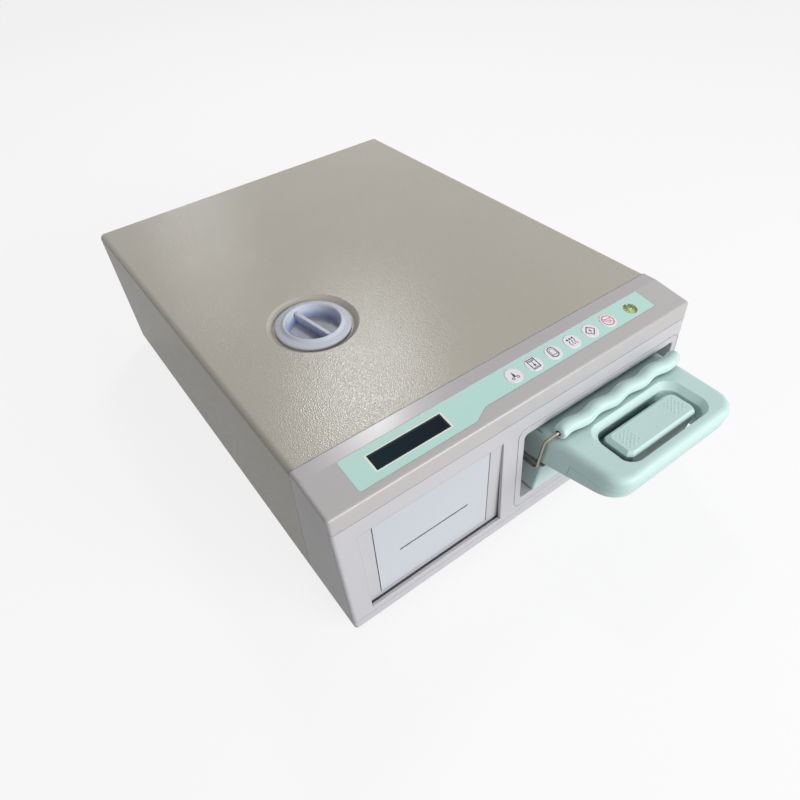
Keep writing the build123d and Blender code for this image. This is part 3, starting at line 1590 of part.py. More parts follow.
with BuildPart() as switch_rocker:
    with BuildSketch(at_x(switch_x - rocker_half)):
        with Locations(Location((back(rocker_depth), up(switch_middle)), rocker_turn)):
            Polygon(
                (1.8, 0),
                (rocker_rise, -rocker_tip),
                (rocker_rise - 2.4, -rocker_tip - 0.8),
                (-3.5, -6.5),
                (-3.5, 6.5),
                (rocker_rise - 2.4, rocker_tip + 0.8),
                (rocker_rise, rocker_tip),
                align=None,
            )
    extrude(amount=2 * rocker_half)
    cross_rod(
        (switch_x - rocker_half - 1.4, switch_x + rocker_half + 1.4), rocker_depth, switch_middle, rocker_pin
    )
keep(switch_rocker, "switch_rocker")

# Exhaust fitting: nut, thread, flange and barbed spigot, turned about its own axis
fitting_end = body_depth + rear_reach
fitting_start = panel_inner - 8.0
with BuildPart() as exhaust_fitting:
    with BuildSketch(Plane(origin=(exhaust_x, 0, up(exhaust_height)), x_dir=(0, 1, 0), z_dir=(1, 0, 0))):
        Polygon(
            (back(fitting_start), 2.2),
            (back(fitting_start), exhaust_bore),
            (back(panel_inner - 6), exhaust_bore),
            (back(panel_inner - 6), 9.0),
            (back(panel_inner - seat), 9.0),
            (back(panel_inner - seat), exhaust_bore),
            (back(panel_rear + seat), exhaust_bore),
            (back(panel_rear + seat), 9.0),
            (back(panel_rear + 5), 9.0),
            (back(panel_rear + 5.5), 8.4),
            (back(panel_rear + 5.5), 3.6),
            (back(fitting_end - 8), 3.6),
            (back(fitting_end - 8), 4.6),
            (back(fitting_end - 4), 3.6),
            (back(fitting_end - 4), 4.6),
            (back(fitting_end), 3.4),
            (back(fitting_end), 2.2),
        )
    revolve(axis=Axis((exhaust_x, 0, up(exhaust_height)), (0, 1, 0)))
keep(exhaust_fitting, "exhaust_fitting")

# Round air filter screwed into the rear panel
filter_radius = 22.0
filter_start = panel_rear + 3.5
with BuildPart() as air_filter:
    with BuildSketch(Plane(origin=(filter_x, 0, up(filter_height)), x_dir=(0, 1, 0), z_dir=(1, 0, 0))):
        Polygon(
            (back(panel_inner - 6), 0),
            (back(panel_inner - 6), filter_stem),
            (back(panel_rear + seat), filter_stem),
            (back(panel_rear + seat), filter_stem + 3),
            (back(filter_start), filter_stem + 3),
            (back(filter_start + 2), filter_radius - 3),
            (back(filter_start + 5), filter_radius - 1),
            (back(filter_start + 5), filter_radius),
            (back(filter_start + 9), filter_radius),
            (back(filter_start + 9), filter_radius - 1),
            (back(filter_start + 12), filter_radius - 4),
            (back(fitting_end - 2), filter_stem + 1),
            (back(fitting_end), filter_stem),
            (back(fitting_end), 0),
        )
    revolve(axis=Axis((filter_x, 0, up(filter_height)), (0, 1, 0)))
keep(air_filter, "air_filter")

# Cooling fan: square frame with a spindle, and a seven-blade rotor turning on it
fan_back = panel_inner - seat
fan_front = fan_back - fan_depth
fan_opening = fan_size / 2 - 1.5
fan_spindle = 2.0
fan_hub = 11.0
strut_depth = 4.0
with BuildPart() as fan_frame:
    with BuildSketch(at_depth(fan_back)):
        with Locations((fan_x, up(fan_height))):
            RectangleRounded(fan_size, fan_size, 4)
            Circle(fan_opening, mode=Mode.SUBTRACT)
            with GridLocations(fan_size - 10, fan_size - 10, 2, 2):
                Circle(1.8, mode=Mode.SUBTRACT)
    extrude(amount=fan_depth)
    long_rod(fan_x, (fan_front, fan_front + strut_depth), fan_height, fan_hub)
    for x, height in ((fan_size, 3.0), (3.0, fan_size)):
        block(
            (fan_x - x / 2 + 1, fan_x + x / 2 - 1),
            (fan_front, fan_front + strut_depth - 1),
            (fan_height - height / 2 + 1, fan_height + height / 2 - 1),
        )
    long_rod(fan_x, (fan_front + 1, fan_back - 6), fan_height, fan_spindle)
keep(fan_frame, "fan_frame")

blade_count = 7
blade_radius = fan_opening - 1.2
with BuildPart() as fan_rotor:
    for number in range(blade_count):
        turn = 2 * pi * number / blade_count
        outward = (cos(turn), 0, sin(turn))
        root = (
            fan_x + (fan_hub - 2) * cos(turn),
            back((fan_front + strut_depth + fan_back) / 2),
            up(fan_height) + (fan_hub - 2) * sin(turn),
        )
        with BuildSketch(Plane(origin=root, x_dir=(0, 1, 0), z_dir=outward)):
            Rectangle(15, 1.4, rotation=38)
        extrude(amount=blade_radius)
    long_rod(fan_x, (fan_front, fan_back), fan_height, blade_radius, Mode.INTERSECT)
    long_rod(fan_x, (fan_front + strut_depth + 0.5, fan_back - 3), fan_height, fan_hub)
    long_rod(fan_x, (fan_front, fan_back - 5), fan_height, fan_spindle + pin_clearance, Mode.SUBTRACT)
keep(fan_rotor, "fan_rotor")

# Pipes and hoses, straight runs joined by bends
pipe_radius = 3.0


def pipe_path(points, bend):
    """Line of a pipe through its points with equal bends."""
    return FilletPolyline(*[point(*place) for place in points], radius=bend)


with BuildPart() as steam_pipe:
    with BuildLine() as steam_path:
        pipe_path(
            [
                (boiler_x, boiler_depth, boiler_high + 8 + seat),
                (boiler_x, boiler_depth, boiler_high + 24),
                (port_positions[-1], probe_end + 15, boiler_high + 24),
                (port_positions[-1], probe_end + 15, port_height),
                (port_positions[-1], probe_end + seat, port_height),
            ],
            7.0,
        )
    with BuildSketch(Plane(origin=steam_path.line @ 0, z_dir=steam_path.line % 0)):
        Circle(pipe_radius)
    sweep()
keep(steam_pipe, "steam_pipe")

with BuildPart() as exhaust_pipe:
    with BuildLine() as exhaust_path:
        pipe_path(
            [
                (exhaust_x, valve_depth[1] + seat, pan_top + 13),
                (exhaust_x, valve_depth[1] + 15, pan_top + 13),
                (exhaust_x, valve_depth[1] + 15, exhaust_height),
                (exhaust_x, fitting_start - seat, exhaust_height),
            ],
            7.0,
        )
    with BuildSketch(Plane(origin=exhaust_path.line @ 0, z_dir=exhaust_path.line % 0)):
        Circle(pipe_radius)
    sweep()
keep(exhaust_pipe, "exhaust_pipe")

port_x = pump_x[0] + 12
port_top = pan_top + 50 + seat
hose_routes = [
    [
        (port_x, tank_back + seat, 30),
        (port_x, tank_back + 20, 30),
        (port_x, tank_back + 20, port_top + 20),
        (port_x, pump_depth - 9, port_top + 20),
        (port_x, pump_depth - 9, port_top),
    ],
    [
        (port_x, pump_depth + 9, port_top),
        (port_x, pump_depth + 9, port_top + 22),
        (port_x, bracket_back + 8, port_top + 22),
        (bay_left - 15, bracket_back + 8, port_top + 22),
        (bay_left - 15, bracket_back + 8, pan_top + 13),
        (bay_left - 15, sum(valve_depth) / 2, pan_top + 13),
        (valve_x[0] - seat, sum(valve_depth) / 2, pan_top + 13),
    ],
]
with BuildPart() as water_hoses:
    for hose_route in hose_routes:
        with BuildLine() as hose_path:
            pipe_path(hose_route, 9.0)
        with BuildSketch(Plane(origin=hose_path.line @ 0, z_dir=hose_path.line % 0)):
            Circle(pipe_radius)
        sweep(path=hose_path.line)
keep(water_hoses, "water_hoses")

os.makedirs("parts", exist_ok=True)
for piece in pieces:
    export_step(piece, f"parts/{piece.label}.step")
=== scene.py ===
from math import atan2, cos, pi, radians, sin

import bmesh
import bpy
from mathutils import Euler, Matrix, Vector


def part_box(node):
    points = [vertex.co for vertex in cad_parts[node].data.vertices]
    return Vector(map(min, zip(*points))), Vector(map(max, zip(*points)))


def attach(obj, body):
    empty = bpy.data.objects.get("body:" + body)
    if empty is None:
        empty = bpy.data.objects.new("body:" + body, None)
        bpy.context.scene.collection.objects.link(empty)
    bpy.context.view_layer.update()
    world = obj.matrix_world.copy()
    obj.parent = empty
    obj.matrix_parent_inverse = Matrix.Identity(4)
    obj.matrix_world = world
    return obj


# Looks of the cassette autoclave, in metres
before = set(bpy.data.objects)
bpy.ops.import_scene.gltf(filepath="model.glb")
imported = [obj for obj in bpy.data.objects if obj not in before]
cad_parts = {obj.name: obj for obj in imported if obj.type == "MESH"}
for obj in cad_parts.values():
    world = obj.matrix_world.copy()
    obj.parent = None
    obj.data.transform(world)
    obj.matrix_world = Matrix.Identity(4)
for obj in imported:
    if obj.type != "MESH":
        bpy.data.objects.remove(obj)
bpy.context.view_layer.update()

MM = 0.001
WHITE = (1.0, 1.0, 1.0, 1.0)

# The sloped control strip: the middle of its front edge, its rise over its depth, and its directions
STRIP_ORIGIN = Vector((0.0, -211.0 * MM, 152.1 * MM))
SLOPE_RISE = 5.5
SLOPE_DEPTH = 38.1
SLOPE = atan2(SLOPE_RISE, SLOPE_DEPTH)
SLOPE_NORMAL = Vector((0.0, -sin(SLOPE), cos(SLOPE)))
SLOPE_UP = Vector((0.0, cos(SLOPE), sin(SLOPE)))
ACROSS = Vector((1.0, 0.0, 0.0))


def srgb(red, green, blue):
    """Linear colour from the usual 0 to 255 values."""
    values = []
    for value in (red, green, blue):
        share = value / 255.0
        values.append(share / 12.92 if share <= 0.04045 else ((share + 0.055) / 1.055) ** 2.4)
    return (*values, 1.0)


# Stretches of the part, in metres, along which a finish changes its tone: painted shade down the cap's bowl
# and across the level's liquid, a painted reflection up the door, and the display's shift from teal to navy
CAP_WALL = (0.149, 0.1545)
CAP_GROUND = (0.1469, 0.1482)
DISPLAY_SPAN = (-0.149, -0.078)
DOOR_RISE = (0.0, 0.12)
LIQUID_SPAN = (-0.181, -0.190)


class Finish:
    """A node material under construction: texture sockets are added, then wired in."""

    def __init__(self, name, color, roughness, **inputs):
        self.material = bpy.data.materials.new(name)
        self.material.use_nodes = True
        self.tree = self.material.node_tree
        self.shader = self.tree.nodes["Principled BSDF"]
        self.shader.inputs["Base Color"].default_value = color
        self.shader.inputs["Roughness"].default_value = roughness
        for key, value in inputs.items():
            self.shader.inputs[key.replace("_", " ")].default_value = value
        self.normal = None
        place = self.tree.nodes.new("ShaderNodeTexCoord")
        self.place = place.outputs["Object"]

    def node(self, kind, **values):
        """New node of a kind with some of its settings."""
        made = self.tree.nodes.new(kind)
        for key, value in values.items():
            setattr(made, key, value)
        return made

    def link(self, start, end):
        """Wire an output to an input."""
        self.tree.links.new(start, end)

    def mapped(self, stretch):
        """Place on the part, stretched along its axes."""
        if stretch == (1, 1, 1):
            return self.place
        mapping = self.node("ShaderNodeMapping")
        mapping.inputs["Scale"].default_value = stretch
        self.link(self.place, mapping.inputs["Vector"])
        return mapping.outputs["Vector"]

    def noise(self, size, detail=3.0, stretch=(1, 1, 1)):
        """Soft noise whose features are about that many metres across."""
        made = self.node("ShaderNodeTexNoise")
        made.inputs["Scale"].default_value = 1.0 / size
        made.inputs["Detail"].default_value = detail
        self.link(self.mapped(stretch), made.inputs["Vector"])
        return made.outputs["Fac"]

    def cells(self, size, smoothness=0.6):
        """Rounded cells about that many metres across."""
        made = self.node("ShaderNodeTexVoronoi", feature="SMOOTH_F1")
        made.inputs["Scale"].default_value = 1.0 / size
        made.inputs["Smoothness"].default_value = smoothness
        self.link(self.place, made.inputs["Vector"])
        return made.outputs["Distance"]

    def spread(self, value, low, high, start=0.0, end=1.0):
        """Map a socket's range start to end onto low to high."""
        made = self.node("ShaderNodeMapRange")
        made.inputs["From Min"].default_value = start
        made.inputs["From Max"].default_value = end
        made.inputs["To Min"].default_value = low
        made.inputs["To Max"].default_value = high
        self.link(value, made.inputs["Value"])
        return made.outputs["Result"]

    def blend(self, share, first, second):
        """Mix of two colours, each a value or a socket."""
        made = self.node("ShaderNodeMix", data_type="RGBA")
        self.link(share, made.inputs["Factor"])
        slots = [s for s in made.inputs if s.type == "RGBA"]
        for value, socket in ((first, slots[0]), (second, slots[1])):
            if isinstance(value, tuple):
                socket.default_value = value
            else:
                self.link(value, socket)
        return [s for s in made.outputs if s.type == "RGBA"][0]

    def along(self, axis, low, high):
        """Share of the way from low to high along an axis of the part."""
        split = self.node("ShaderNodeSeparateXYZ")
        self.link(self.place, split.inputs["Vector"])
        return self.spread(split.outputs[axis], 0, 1, low, high)

    def soft_edges(self, radius):
        """Round the look of sharp edges."""
        made = self.node("ShaderNodeBevel", samples=4)
        made.inputs["Radius"].default_value = radius
        self.normal = made.outputs["Normal"]

    def crevice(self, distance):
        """Ambient-occlusion share for painted shade: 1 in the open, falling towards 0 in corners and gaps.
        """
        made = self.node("ShaderNodeAmbientOcclusion", samples=4)
        made.inputs["Distance"].default_value = distance
        return made.outputs["AO"]

    def clouded(self, color, size, low, high, detail=3.0):
        """A colour that drifts between two shades of itself in soft clouds."""
        return self.blend(self.noise(size, detail), scaled(color, low), scaled(color, high))

    def shaded(self, tone, color, distance, shade, start, end):
        """Paint shade into a tone: darken it in the corners and gaps that are narrower than a distance."""
        share = self.spread(self.crevice(distance), 0, 1, start, end)
        return self.blend(share, scaled(color, shade), tone)

    def bump(self, height, depth, strength=1.0):
        """Add a bump layer of that depth in metres."""
        made = self.node("ShaderNodeBump")
        made.inputs["Strength"].default_value = strength
        made.inputs["Distance"].default_value = depth
        self.link(height, made.inputs["Height"])
        if self.normal:
            self.link(self.normal, made.inputs["Normal"])
        self.normal = made.outputs["Normal"]

    def wire(self, color=None, roughness=None):
        """Connect what was made and hand back the material."""
        if color:
            self.link(color, self.shader.inputs["Base Color"])
        if roughness:
            self.link(roughness, self.shader.inputs["Roughness"])
        if self.normal:
            self.link(self.normal, self.shader.inputs["Normal"])
        return self.material


def scaled(color, factor):
    """A colour made darker or lighter."""
    return (*[min(1.0, value * factor) for value in color[:3]], 1.0)


def textured_paint(name, color):
    """Powder coat with a pebbled orange-peel grain, with painted shade in its corners and along its seams.
    """
    finish = Finish(name, color, 0.2, Specular_IOR_Level=0.4)
    finish.soft_edges(0.7 * MM)
    finish.bump(finish.cells(1.2 * MM, 0.35), 0.13 * MM, 1.0)
    finish.bump(finish.noise(7 * MM, 1.0), 0.1 * MM, 0.4)
    cloud = finish.noise(90 * MM, 3.0)
    tone = finish.blend(finish.spread(cloud, 0, 1, 0.35, 0.65), scaled(color, 0.985), scaled(color, 1.012))
    # Painted shade: the coat is darkened in corners within 4 mm and, more deeply, in gaps within 0.9 mm
    # along its seams.
    corner_shade = finish.shaded(tone, color, 4 * MM, 0.76, 0.1, 0.8)
    seam_shade = finish.shaded(corner_shade, color, 0.9 * MM, 0.4, 0.2, 0.7)
    return finish.wire(seam_shade, finish.spread(finish.noise(3 * MM, 4.0), 0.15, 0.24, 0.3, 0.7))


def smooth_paint(name, color, roughness=0.28):
    """Satin lacquer on a moulding, very slightly wavy and rubbed, with painted shade in its corners and
    along its seams.
    """
    finish = Finish(name, color, roughness, Coat_Weight=0.25, Coat_Roughness=0.2)
    finish.soft_edges(1.1 * MM)
    finish.bump(finish.noise(26 * MM, 1.0), 0.06 * MM, 0.4)
    tone = finish.clouded(color, 80 * MM, 0.985, 1.015)
    # Painted shade: the lacquer is darkened in corners within 2.5 mm and, more deeply, in gaps within 0.9
    # mm along its seams.
    hollow_shade = finish.shaded(tone, color, 2.5 * MM, 0.72, 0.1, 0.8)
    seam_shade = finish.shaded(hollow_shade, color, 0.9 * MM, 0.4, 0.2, 0.7)
    rubbed = finish.noise(34 * MM, 0.0)
    return finish.wire(seam_shade, finish.spread(rubbed, roughness - 0.03, roughness + 0.05))


def moulded(name, color, roughness=0.35, grain=0.5 * MM, depth=0.012 * MM, shade=0.7, hollow=4 * MM):
    """Injection-moulded plastic with a fine spark-eroded grain and painted shade in its hollows."""
    finish = Finish(name, color, roughness, Specular_IOR_Level=0.5)
    finish.soft_edges(0.6 * MM)
    finish.bump(finish.noise(grain, 3.0), depth, 0.8)
    finish.bump(finish.noise(16 * MM, 1.0), 0.03 * MM, 0.4)
    tone = finish.clouded(color, 50 * MM, 0.975, 1.025)
    # Painted shade: the plastic is darkened by the shade factor in hollows narrower than the hollow
    # distance.
    hollow_shade = finish.shaded(tone, color, hollow, shade, 0.1, 0.65)
    wear = finish.noise(6 * MM, 5.0)
    return finish.wire(hollow_shade, finish.spread(wear, roughness - 0.06, roughness + 0.1, 0.3, 0.7))


def cap_plastic(name, color, wall, ground):
    """Satin moulding with painted shade that turns its bowl darker and bluer down its wall and grey on its
    floor.
    """
    finish = Finish(name, color, 0.24, Specular_IOR_Level=0.5, Coat_Weight=0.2)
    finish.soft_edges(0.6 * MM)
    finish.bump(finish.noise(18 * MM, 1.0), 0.03 * MM, 0.4)
    tone = finish.clouded(color, 50 * MM, 0.98, 1.02)
    # Painted shade: the bowl is painted darker and bluer down its wall and grey on its floor, and darker
    # again in its hollows.
    bowl = finish.blend(finish.along("Z", *CAP_WALL), wall, tone)
    bowl = finish.blend(finish.along("Z", *CAP_GROUND), ground, bowl)
    hollow_shade = finish.shaded(bowl, wall, 4 * MM, 0.5, 0.1, 0.7)
    return finish.wire(hollow_shade, finish.spread(finish.noise(6 * MM, 3.0), 0.2, 0.32, 0.3, 0.7))


def brushed(name, color, roughness=0.32, stretch=(1, 0.04, 1)):
    """Brushed or drawn metal with a directional grain."""
    finish = Finish(name, color, roughness, Metallic=1.0, Anisotropic=0.4)
    lines = finish.noise(0.4 * MM, 4.0, stretch)
    finish.bump(lines, 0.012 * MM, 0.6)
    tone = finish.clouded(color, 30 * MM, 0.86, 1.05, 5.0)
    return finish.wire(tone, finish.spread(lines, roughness - 0.08, roughness + 0.14, 0.3, 0.7))


def rubbery(name, color, roughness=0.7):
    """Matt rubber or silicone with a dusty bloom."""
    finish = Finish(name, color, roughness, Sheen_Weight=0.15)
    finish.bump(finish.noise(0.8 * MM, 5.0), 0.03 * MM, 0.7)
    tone = finish.clouded(color, 12 * MM, 0.85, 1.2, 5.0)
    return finish.wire(tone, finish.spread(finish.noise(5 * MM), roughness - 0.1, roughness + 0.1))


def clear(name, color, roughness=0.04):
    """Clear plastic or glass with faint wipe marks."""
    finish = Finish(name, color, roughness, Transmission_Weight=1.0, IOR=1.49)
    return finish.wire(None, finish.spread(finish.noise(3 * MM, 5.0), roughness, roughness + 0.06))


def printed(name, color, roughness=0.4):
    """Screen-printed ink, slightly uneven."""
    finish = Finish(name, color, roughness)
    return finish.wire(finish.clouded(color, 0.4 * MM, 0.9, 1.1, 4.0))


def label_film(name, color):
    """Polyester overlay with a fine matt texture."""
    finish = Finish(name, color, 0.38, Coat_Weight=0.1, Coat_Roughness=0.3)
    finish.bump(finish.noise(0.25 * MM, 3.0), 0.006 * MM, 0.8)
    tone = finish.clouded(color, 40 * MM, 0.97, 1.03)
    return finish.wire(tone, finish.spread(finish.noise(2 * MM, 4.0), 0.34, 0.44))


def door_sheet(name, color):
    """Milky door sheet, with a painted reflection that deepens its tone towards its top and painted shade
    in its slit and gaps.
    """
    finish = Finish(name, color, 0.16, Coat_Weight=0.4, Coat_Roughness=0.08)
    finish.soft_edges(0.5 * MM)
    rise = finish.along("Z", *DOOR_RISE)
    finish.bump(finish.noise(30 * MM, 1.0), 0.05 * MM, 0.4)
    # Painted reflection: the sheet is lighter at its foot and darker towards its top.
    tone = finish.blend(rise, scaled(color, 1.03), scaled(color, 0.95))
    # Painted shade: the sheet is darkened deeply within 3 mm of its slit and the gaps round it.
    tone = finish.shaded(tone, color, 3 * MM, 0.15, 0.25, 0.6)
    return finish.wire(tone, finish.spread(finish.noise(4 * MM, 4.0), 0.13, 0.22, 0.3, 0.7))


def display_pane(name):
    """Dark display behind its window, teal at the left and navy at the right."""
    finish = Finish(name, srgb(12, 32, 40), 0.09, Specular_IOR_Level=0.12)
    sideways = finish.along("X", *DISPLAY_SPAN)
    rows = finish.noise(0.5 * MM, 2.0)
    base = finish.blend(sideways, srgb(10, 40, 44), srgb(12, 20, 38))
    tone = finish.blend(finish.spread(rows, 0, 0.25, 0.45, 0.6), base, srgb(20, 50, 58))
    finish.bump(finish.noise(20 * MM, 1.0), 0.02 * MM, 0.2)
    return finish.wire(tone, finish.spread(finish.noise(3 * MM, 4.0), 0.06, 0.13))


def circuit(name, color):
    """Solder mask with a hint of traces."""
    finish = Finish(name, color, 0.3, Coat_Weight=0.3)
    traces = finish.noise(2.5 * MM, 1.0, (0.2, 1, 1))
    tone = finish.blend(finish.spread(traces, 0, 1, 0.48, 0.52), color, scaled(color, 1.8))
    return finish.wire(tone)


# Share of glow the camera sees on the floor, how much of it mirrors see, and its two tones
FLOOR_GLOW = 0.82
FLOOR_MIRRORED = 0.5
FLOOR_BOUNCE = (0.38, 0.38, 0.38, 1.0)
FLOOR_SEEN = (0.9, 0.9, 0.9, 1.0)


def glow_floor():
    """White floor that shows as white to the camera and keeps a soft shadow."""
    finish = Finish("floor_white", FLOOR_BOUNCE, 0.85)
    finish.bump(finish.noise(40 * MM, 3.0), 0.1 * MM, 0.2)
    glow = finish.node("ShaderNodeEmission")
    glow.inputs["Color"].default_value = WHITE
    glow.inputs["Strength"].default_value = 1.0
    path = finish.node("ShaderNodeLightPath")
    seen = finish.node("ShaderNodeMath", operation="MAXIMUM")
    mirror = finish.node("ShaderNodeMath", operation="MULTIPLY")
    also = finish.node("ShaderNodeMath", operation="MAXIMUM")
    share = finish.node("ShaderNodeMath", operation="MULTIPLY")
    mixed = finish.node("ShaderNodeMixShader")
    finish.link(path.outputs["Is Camera Ray"], seen.inputs[0])
    finish.link(path.outputs["Is Transmission Ray"], seen.inputs[1])
    finish.link(path.outputs["Is Glossy Ray"], mirror.inputs[0])
    mirror.inputs[1].default_value = FLOOR_MIRRORED
    finish.link(seen.outputs["Value"], also.inputs[0])
    finish.link(mirror.outputs["Value"], also.inputs[1])
    finish.link(also.outputs["Value"], share.inputs[0])
    share.inputs[1].default_value = FLOOR_GLOW
    finish.link(share.outputs["Value"], mixed.inputs["Fac"])
    pale = finish.blend(seen.outputs["Value"], FLOOR_BOUNCE, FLOOR_SEEN)
    finish.link(pale, finish.shader.inputs["Base Color"])
    finish.link(finish.shader.outputs["BSDF"], mixed.inputs[1])
    finish.link(glow.outputs["Emission"], mixed.inputs[2])
    finish.link(mixed.outputs["Shader"], finish.tree.nodes["Material Output"].inputs["Surface"])
    return finish.wire()


# Paints and mouldings of the body
paint_cover = textured_paint("paint_cover", srgb(188, 182, 169))
paint_hood = smooth_paint("paint_hood", srgb(188, 184, 184))
paint_panel = smooth_paint("paint_panel", srgb(197, 196, 200), 0.3)
steel_pan = brushed("steel_pan", srgb(176, 178, 180), 0.42, (1, 0.3, 1))
# Painted shade: the bay's steel is made nearly black to stand for the shade inside the cassette slot.
shaded_steel_bay = brushed("shaded_steel_bay", srgb(40, 41, 43), 0.4, (1, 0.2, 1))
film_mint = label_film("film_mint", srgb(191, 230, 220))
display_glass = display_pane("display_glass")
key_white = moulded("key_white", srgb(242, 239, 245), 0.4, shade=0.9)
sheet_door = door_sheet("sheet_door", srgb(203, 207, 214))
plastic_vial = moulded("plastic_vial", srgb(150, 190, 60), 0.3)
clear_lens = clear("clear_lens", srgb(240, 250, 235))
ink_navy = printed("ink_navy", srgb(12, 17, 36))
ink_rose = printed("ink_rose", srgb(214, 62, 92))
ink_cream = printed("ink_cream", srgb(243, 242, 232))
ink_blush = printed("ink_blush", srgb(238, 226, 230))
# Near-black print that serves as the painted shade band inside the display window
shade_black = printed("shade_black", srgb(9, 12, 16), 0.12)

# Cassette and its handles
# Painted shade: the handle is darkened deeply in hollows within 9 mm, round its thumb pad and in its gaps;
# its dots only lightly.
mint_handle = moulded("mint_handle", srgb(199, 226, 222), 0.4, 0.8 * MM, 0.01 * MM, 0.12, 9 * MM)
mint_dots = moulded("mint_dots", srgb(196, 224, 220), 0.4, 0.8 * MM, 0.01 * MM, 0.8, 0.5 * MM)
steel_bright = brushed("steel_bright", srgb(198, 199, 200), 0.26)
steel_rack = brushed("steel_rack", srgb(186, 188, 190), 0.3, (1, 1, 0.1))
nickel_wire = brushed("nickel_wire", srgb(196, 184, 166), 0.2, (1, 1, 1))
seal_silicone = rubbery("seal_silicone", srgb(196, 92, 70), 0.5)

# Filler cap and tank
cap_blue = cap_plastic("cap_blue", srgb(200, 204, 216), srgb(150, 166, 208), srgb(158, 160, 168))
tank_milky = moulded("tank_milky", srgb(222, 224, 220), 0.45, 1.2 * MM, 0.03 * MM)
seal_black = rubbery("seal_black", srgb(34, 34, 36))

# Inside and behind
foot_rubber = rubbery("foot_rubber", srgb(30, 30, 32), 0.75)
insulation_wool = rubbery("insulation_wool", srgb(150, 146, 134), 0.95)
guide_dark = rubbery("guide_dark", srgb(50, 50, 50), 0.8)
aluminium_cast = brushed("aluminium_cast", srgb(184, 186, 188), 0.45, (1, 1, 1))
brass_turned = brushed("brass_turned", srgb(196, 160, 92), 0.3, (1, 1, 0.2))
black_moulding = moulded("black_moulding", srgb(34, 34, 36), 0.42, 0.7 * MM, 0.03 * MM)
board_green = circuit("board_green", srgb(22, 88, 54))
display_black = moulded("display_black", srgb(26, 30, 32), 0.35)
hose_clear = moulded("hose_clear", srgb(206, 212, 208), 0.25)
paper_white = rubbery("paper_white", srgb(240, 240, 236), 0.8)
screw_zinc = brushed("screw_zinc", srgb(160, 162, 164), 0.3, (1, 1, 1))
filter_white = moulded("filter_white", srgb(232, 234, 232), 0.4)

NODE_FINISH = {
    paint_cover: ["top_cover"],
    paint_hood: ["control_hood"],
    paint_panel: ["front_panel", "front_sill"],
    steel_pan: ["base_pan", "rear_panel", "power_supply"],
    shaded_steel_bay: ["bay_shell"],
    film_mint: ["keypad_label"],
    display_glass: ["lcd_window"],
    key_white: [f"button_{number}" for number in range(1, 7)],
    sheet_door: ["printer_door"],
    plastic_vial: ["level_vial"],
    clear_lens: ["level_lens"],
    mint_handle: ["tray_handle", "lid_handle", "handle_cover", "bail_grip"],
    steel_bright: ["cassette_tray", "cassette_lid", "boiler", "steam_probes"],
    steel_rack: ["instrument_rack"],
    nickel_wire: ["bail_wire"],
    seal_silicone: ["cassette_seal", "port_seals"],
    cap_blue: ["reservoir_cap"],
    tank_milky: ["reservoir_tank"],
    seal_black: ["cap_seal"],
    foot_rubber: ["rubber_feet"],
    insulation_wool: ["upper_platen", "lower_platen"],
    guide_dark: ["side_guides"],
    aluminium_cast: ["probe_bracket", "boiler_heater", "air_compressor"],
    brass_turned: ["valve_block", "exhaust_fitting", "steam_pipe"],
    black_moulding: [
        "printer_mechanism", "water_pump", "mains_inlet", "mains_switch",
        "switch_rocker", "fan_frame", "fan_rotor", "water_sensor",
    ],
    board_green: ["control_board", "keypad_board"],
    display_black: ["lcd_module"],
    hose_clear: ["water_hoses", "exhaust_pipe"],
    paper_white: ["paper_roll"],
    screw_zinc: ["cover_screws"],
    filter_white: ["air_filter"],
}
for finish, names in NODE_FINISH.items():
    for name in names:
        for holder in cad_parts[name].material_slots:
            holder.material = finish


# Thin prints laid on the sloped control strip, in millimetres
def on_strip(across, row, lift):
    """Point on the control strip from its place across, up and above it."""
    return STRIP_ORIGIN + (ACROSS * across + SLOPE_UP * row + SLOPE_NORMAL * lift) * MM


def strip_box(node):
    """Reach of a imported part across, up and above the strip, to a hundredth as its curves are faceted."""
    offsets = [(vertex.co - STRIP_ORIGIN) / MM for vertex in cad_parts[node].data.vertices]
    reach = []
    for direction in (ACROSS, SLOPE_UP, SLOPE_NORMAL):
        along = [offset.dot(direction) for offset in offsets]
        reach.append((round(min(along), 2), round(max(along), 2)))
    return reach


def strip_middle(node):
    """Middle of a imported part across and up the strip."""
    across, up = strip_box(node)[:2]
    return sum(across) / 2, sum(up) / 2


def place_mesh(name, mesh, material, body):
    """Finish a new mesh object and let it ride on its body."""
    piece = bpy.data.objects.new(name, mesh)
    bpy.context.scene.collection.objects.link(piece)
    mesh.materials.append(material)
    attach(piece, body)


# How far a sharp corner of a line may run out, as the least share of its width along the mitre
MITRE_LIMIT = 0.35


def line_quads(points, width, closed=False):
    """Quads of a mitred line through 2D points."""
    count = len(points)
    edges = []
    for index, point in enumerate(points):
        here = Vector(point)
        before = Vector(points[index - 1]) if index or closed else None
        after = Vector(points[(index + 1) % count]) if index < count - 1 or closed else None
        arrive = (here - before).normalized() if before is not None else None
        leave = (after - here).normalized() if after is not None else None
        first = arrive or leave
        second = leave or arrive
        side = Vector((-(first.y + second.y), first.x + second.x))
        side = side.normalized() if side.length > 1e-9 else Vector((-first.y, first.x))
        spread = max(MITRE_LIMIT, side.dot(Vector((-first.y, first.x))))
        offset = side * (width / 2 / spread)
        edges.append((here + offset, here - offset))
    spans = range(count if closed else count - 1)
    return [(edges[i][0], edges[i][1], edges[(i + 1) % count][1], edges[(i + 1) % count][0]) for i in spans]


def round_points(x, y, radius, count):
    """Points along a circle."""
    angles = [2 * pi * index / count for index in range(count)]
    return [(x + radius * cos(angle), y + radius * sin(angle)) for angle in angles]


# Film thickness above and below the surface it lies on
FILM = 0.03
FILM_SINK = 0.02


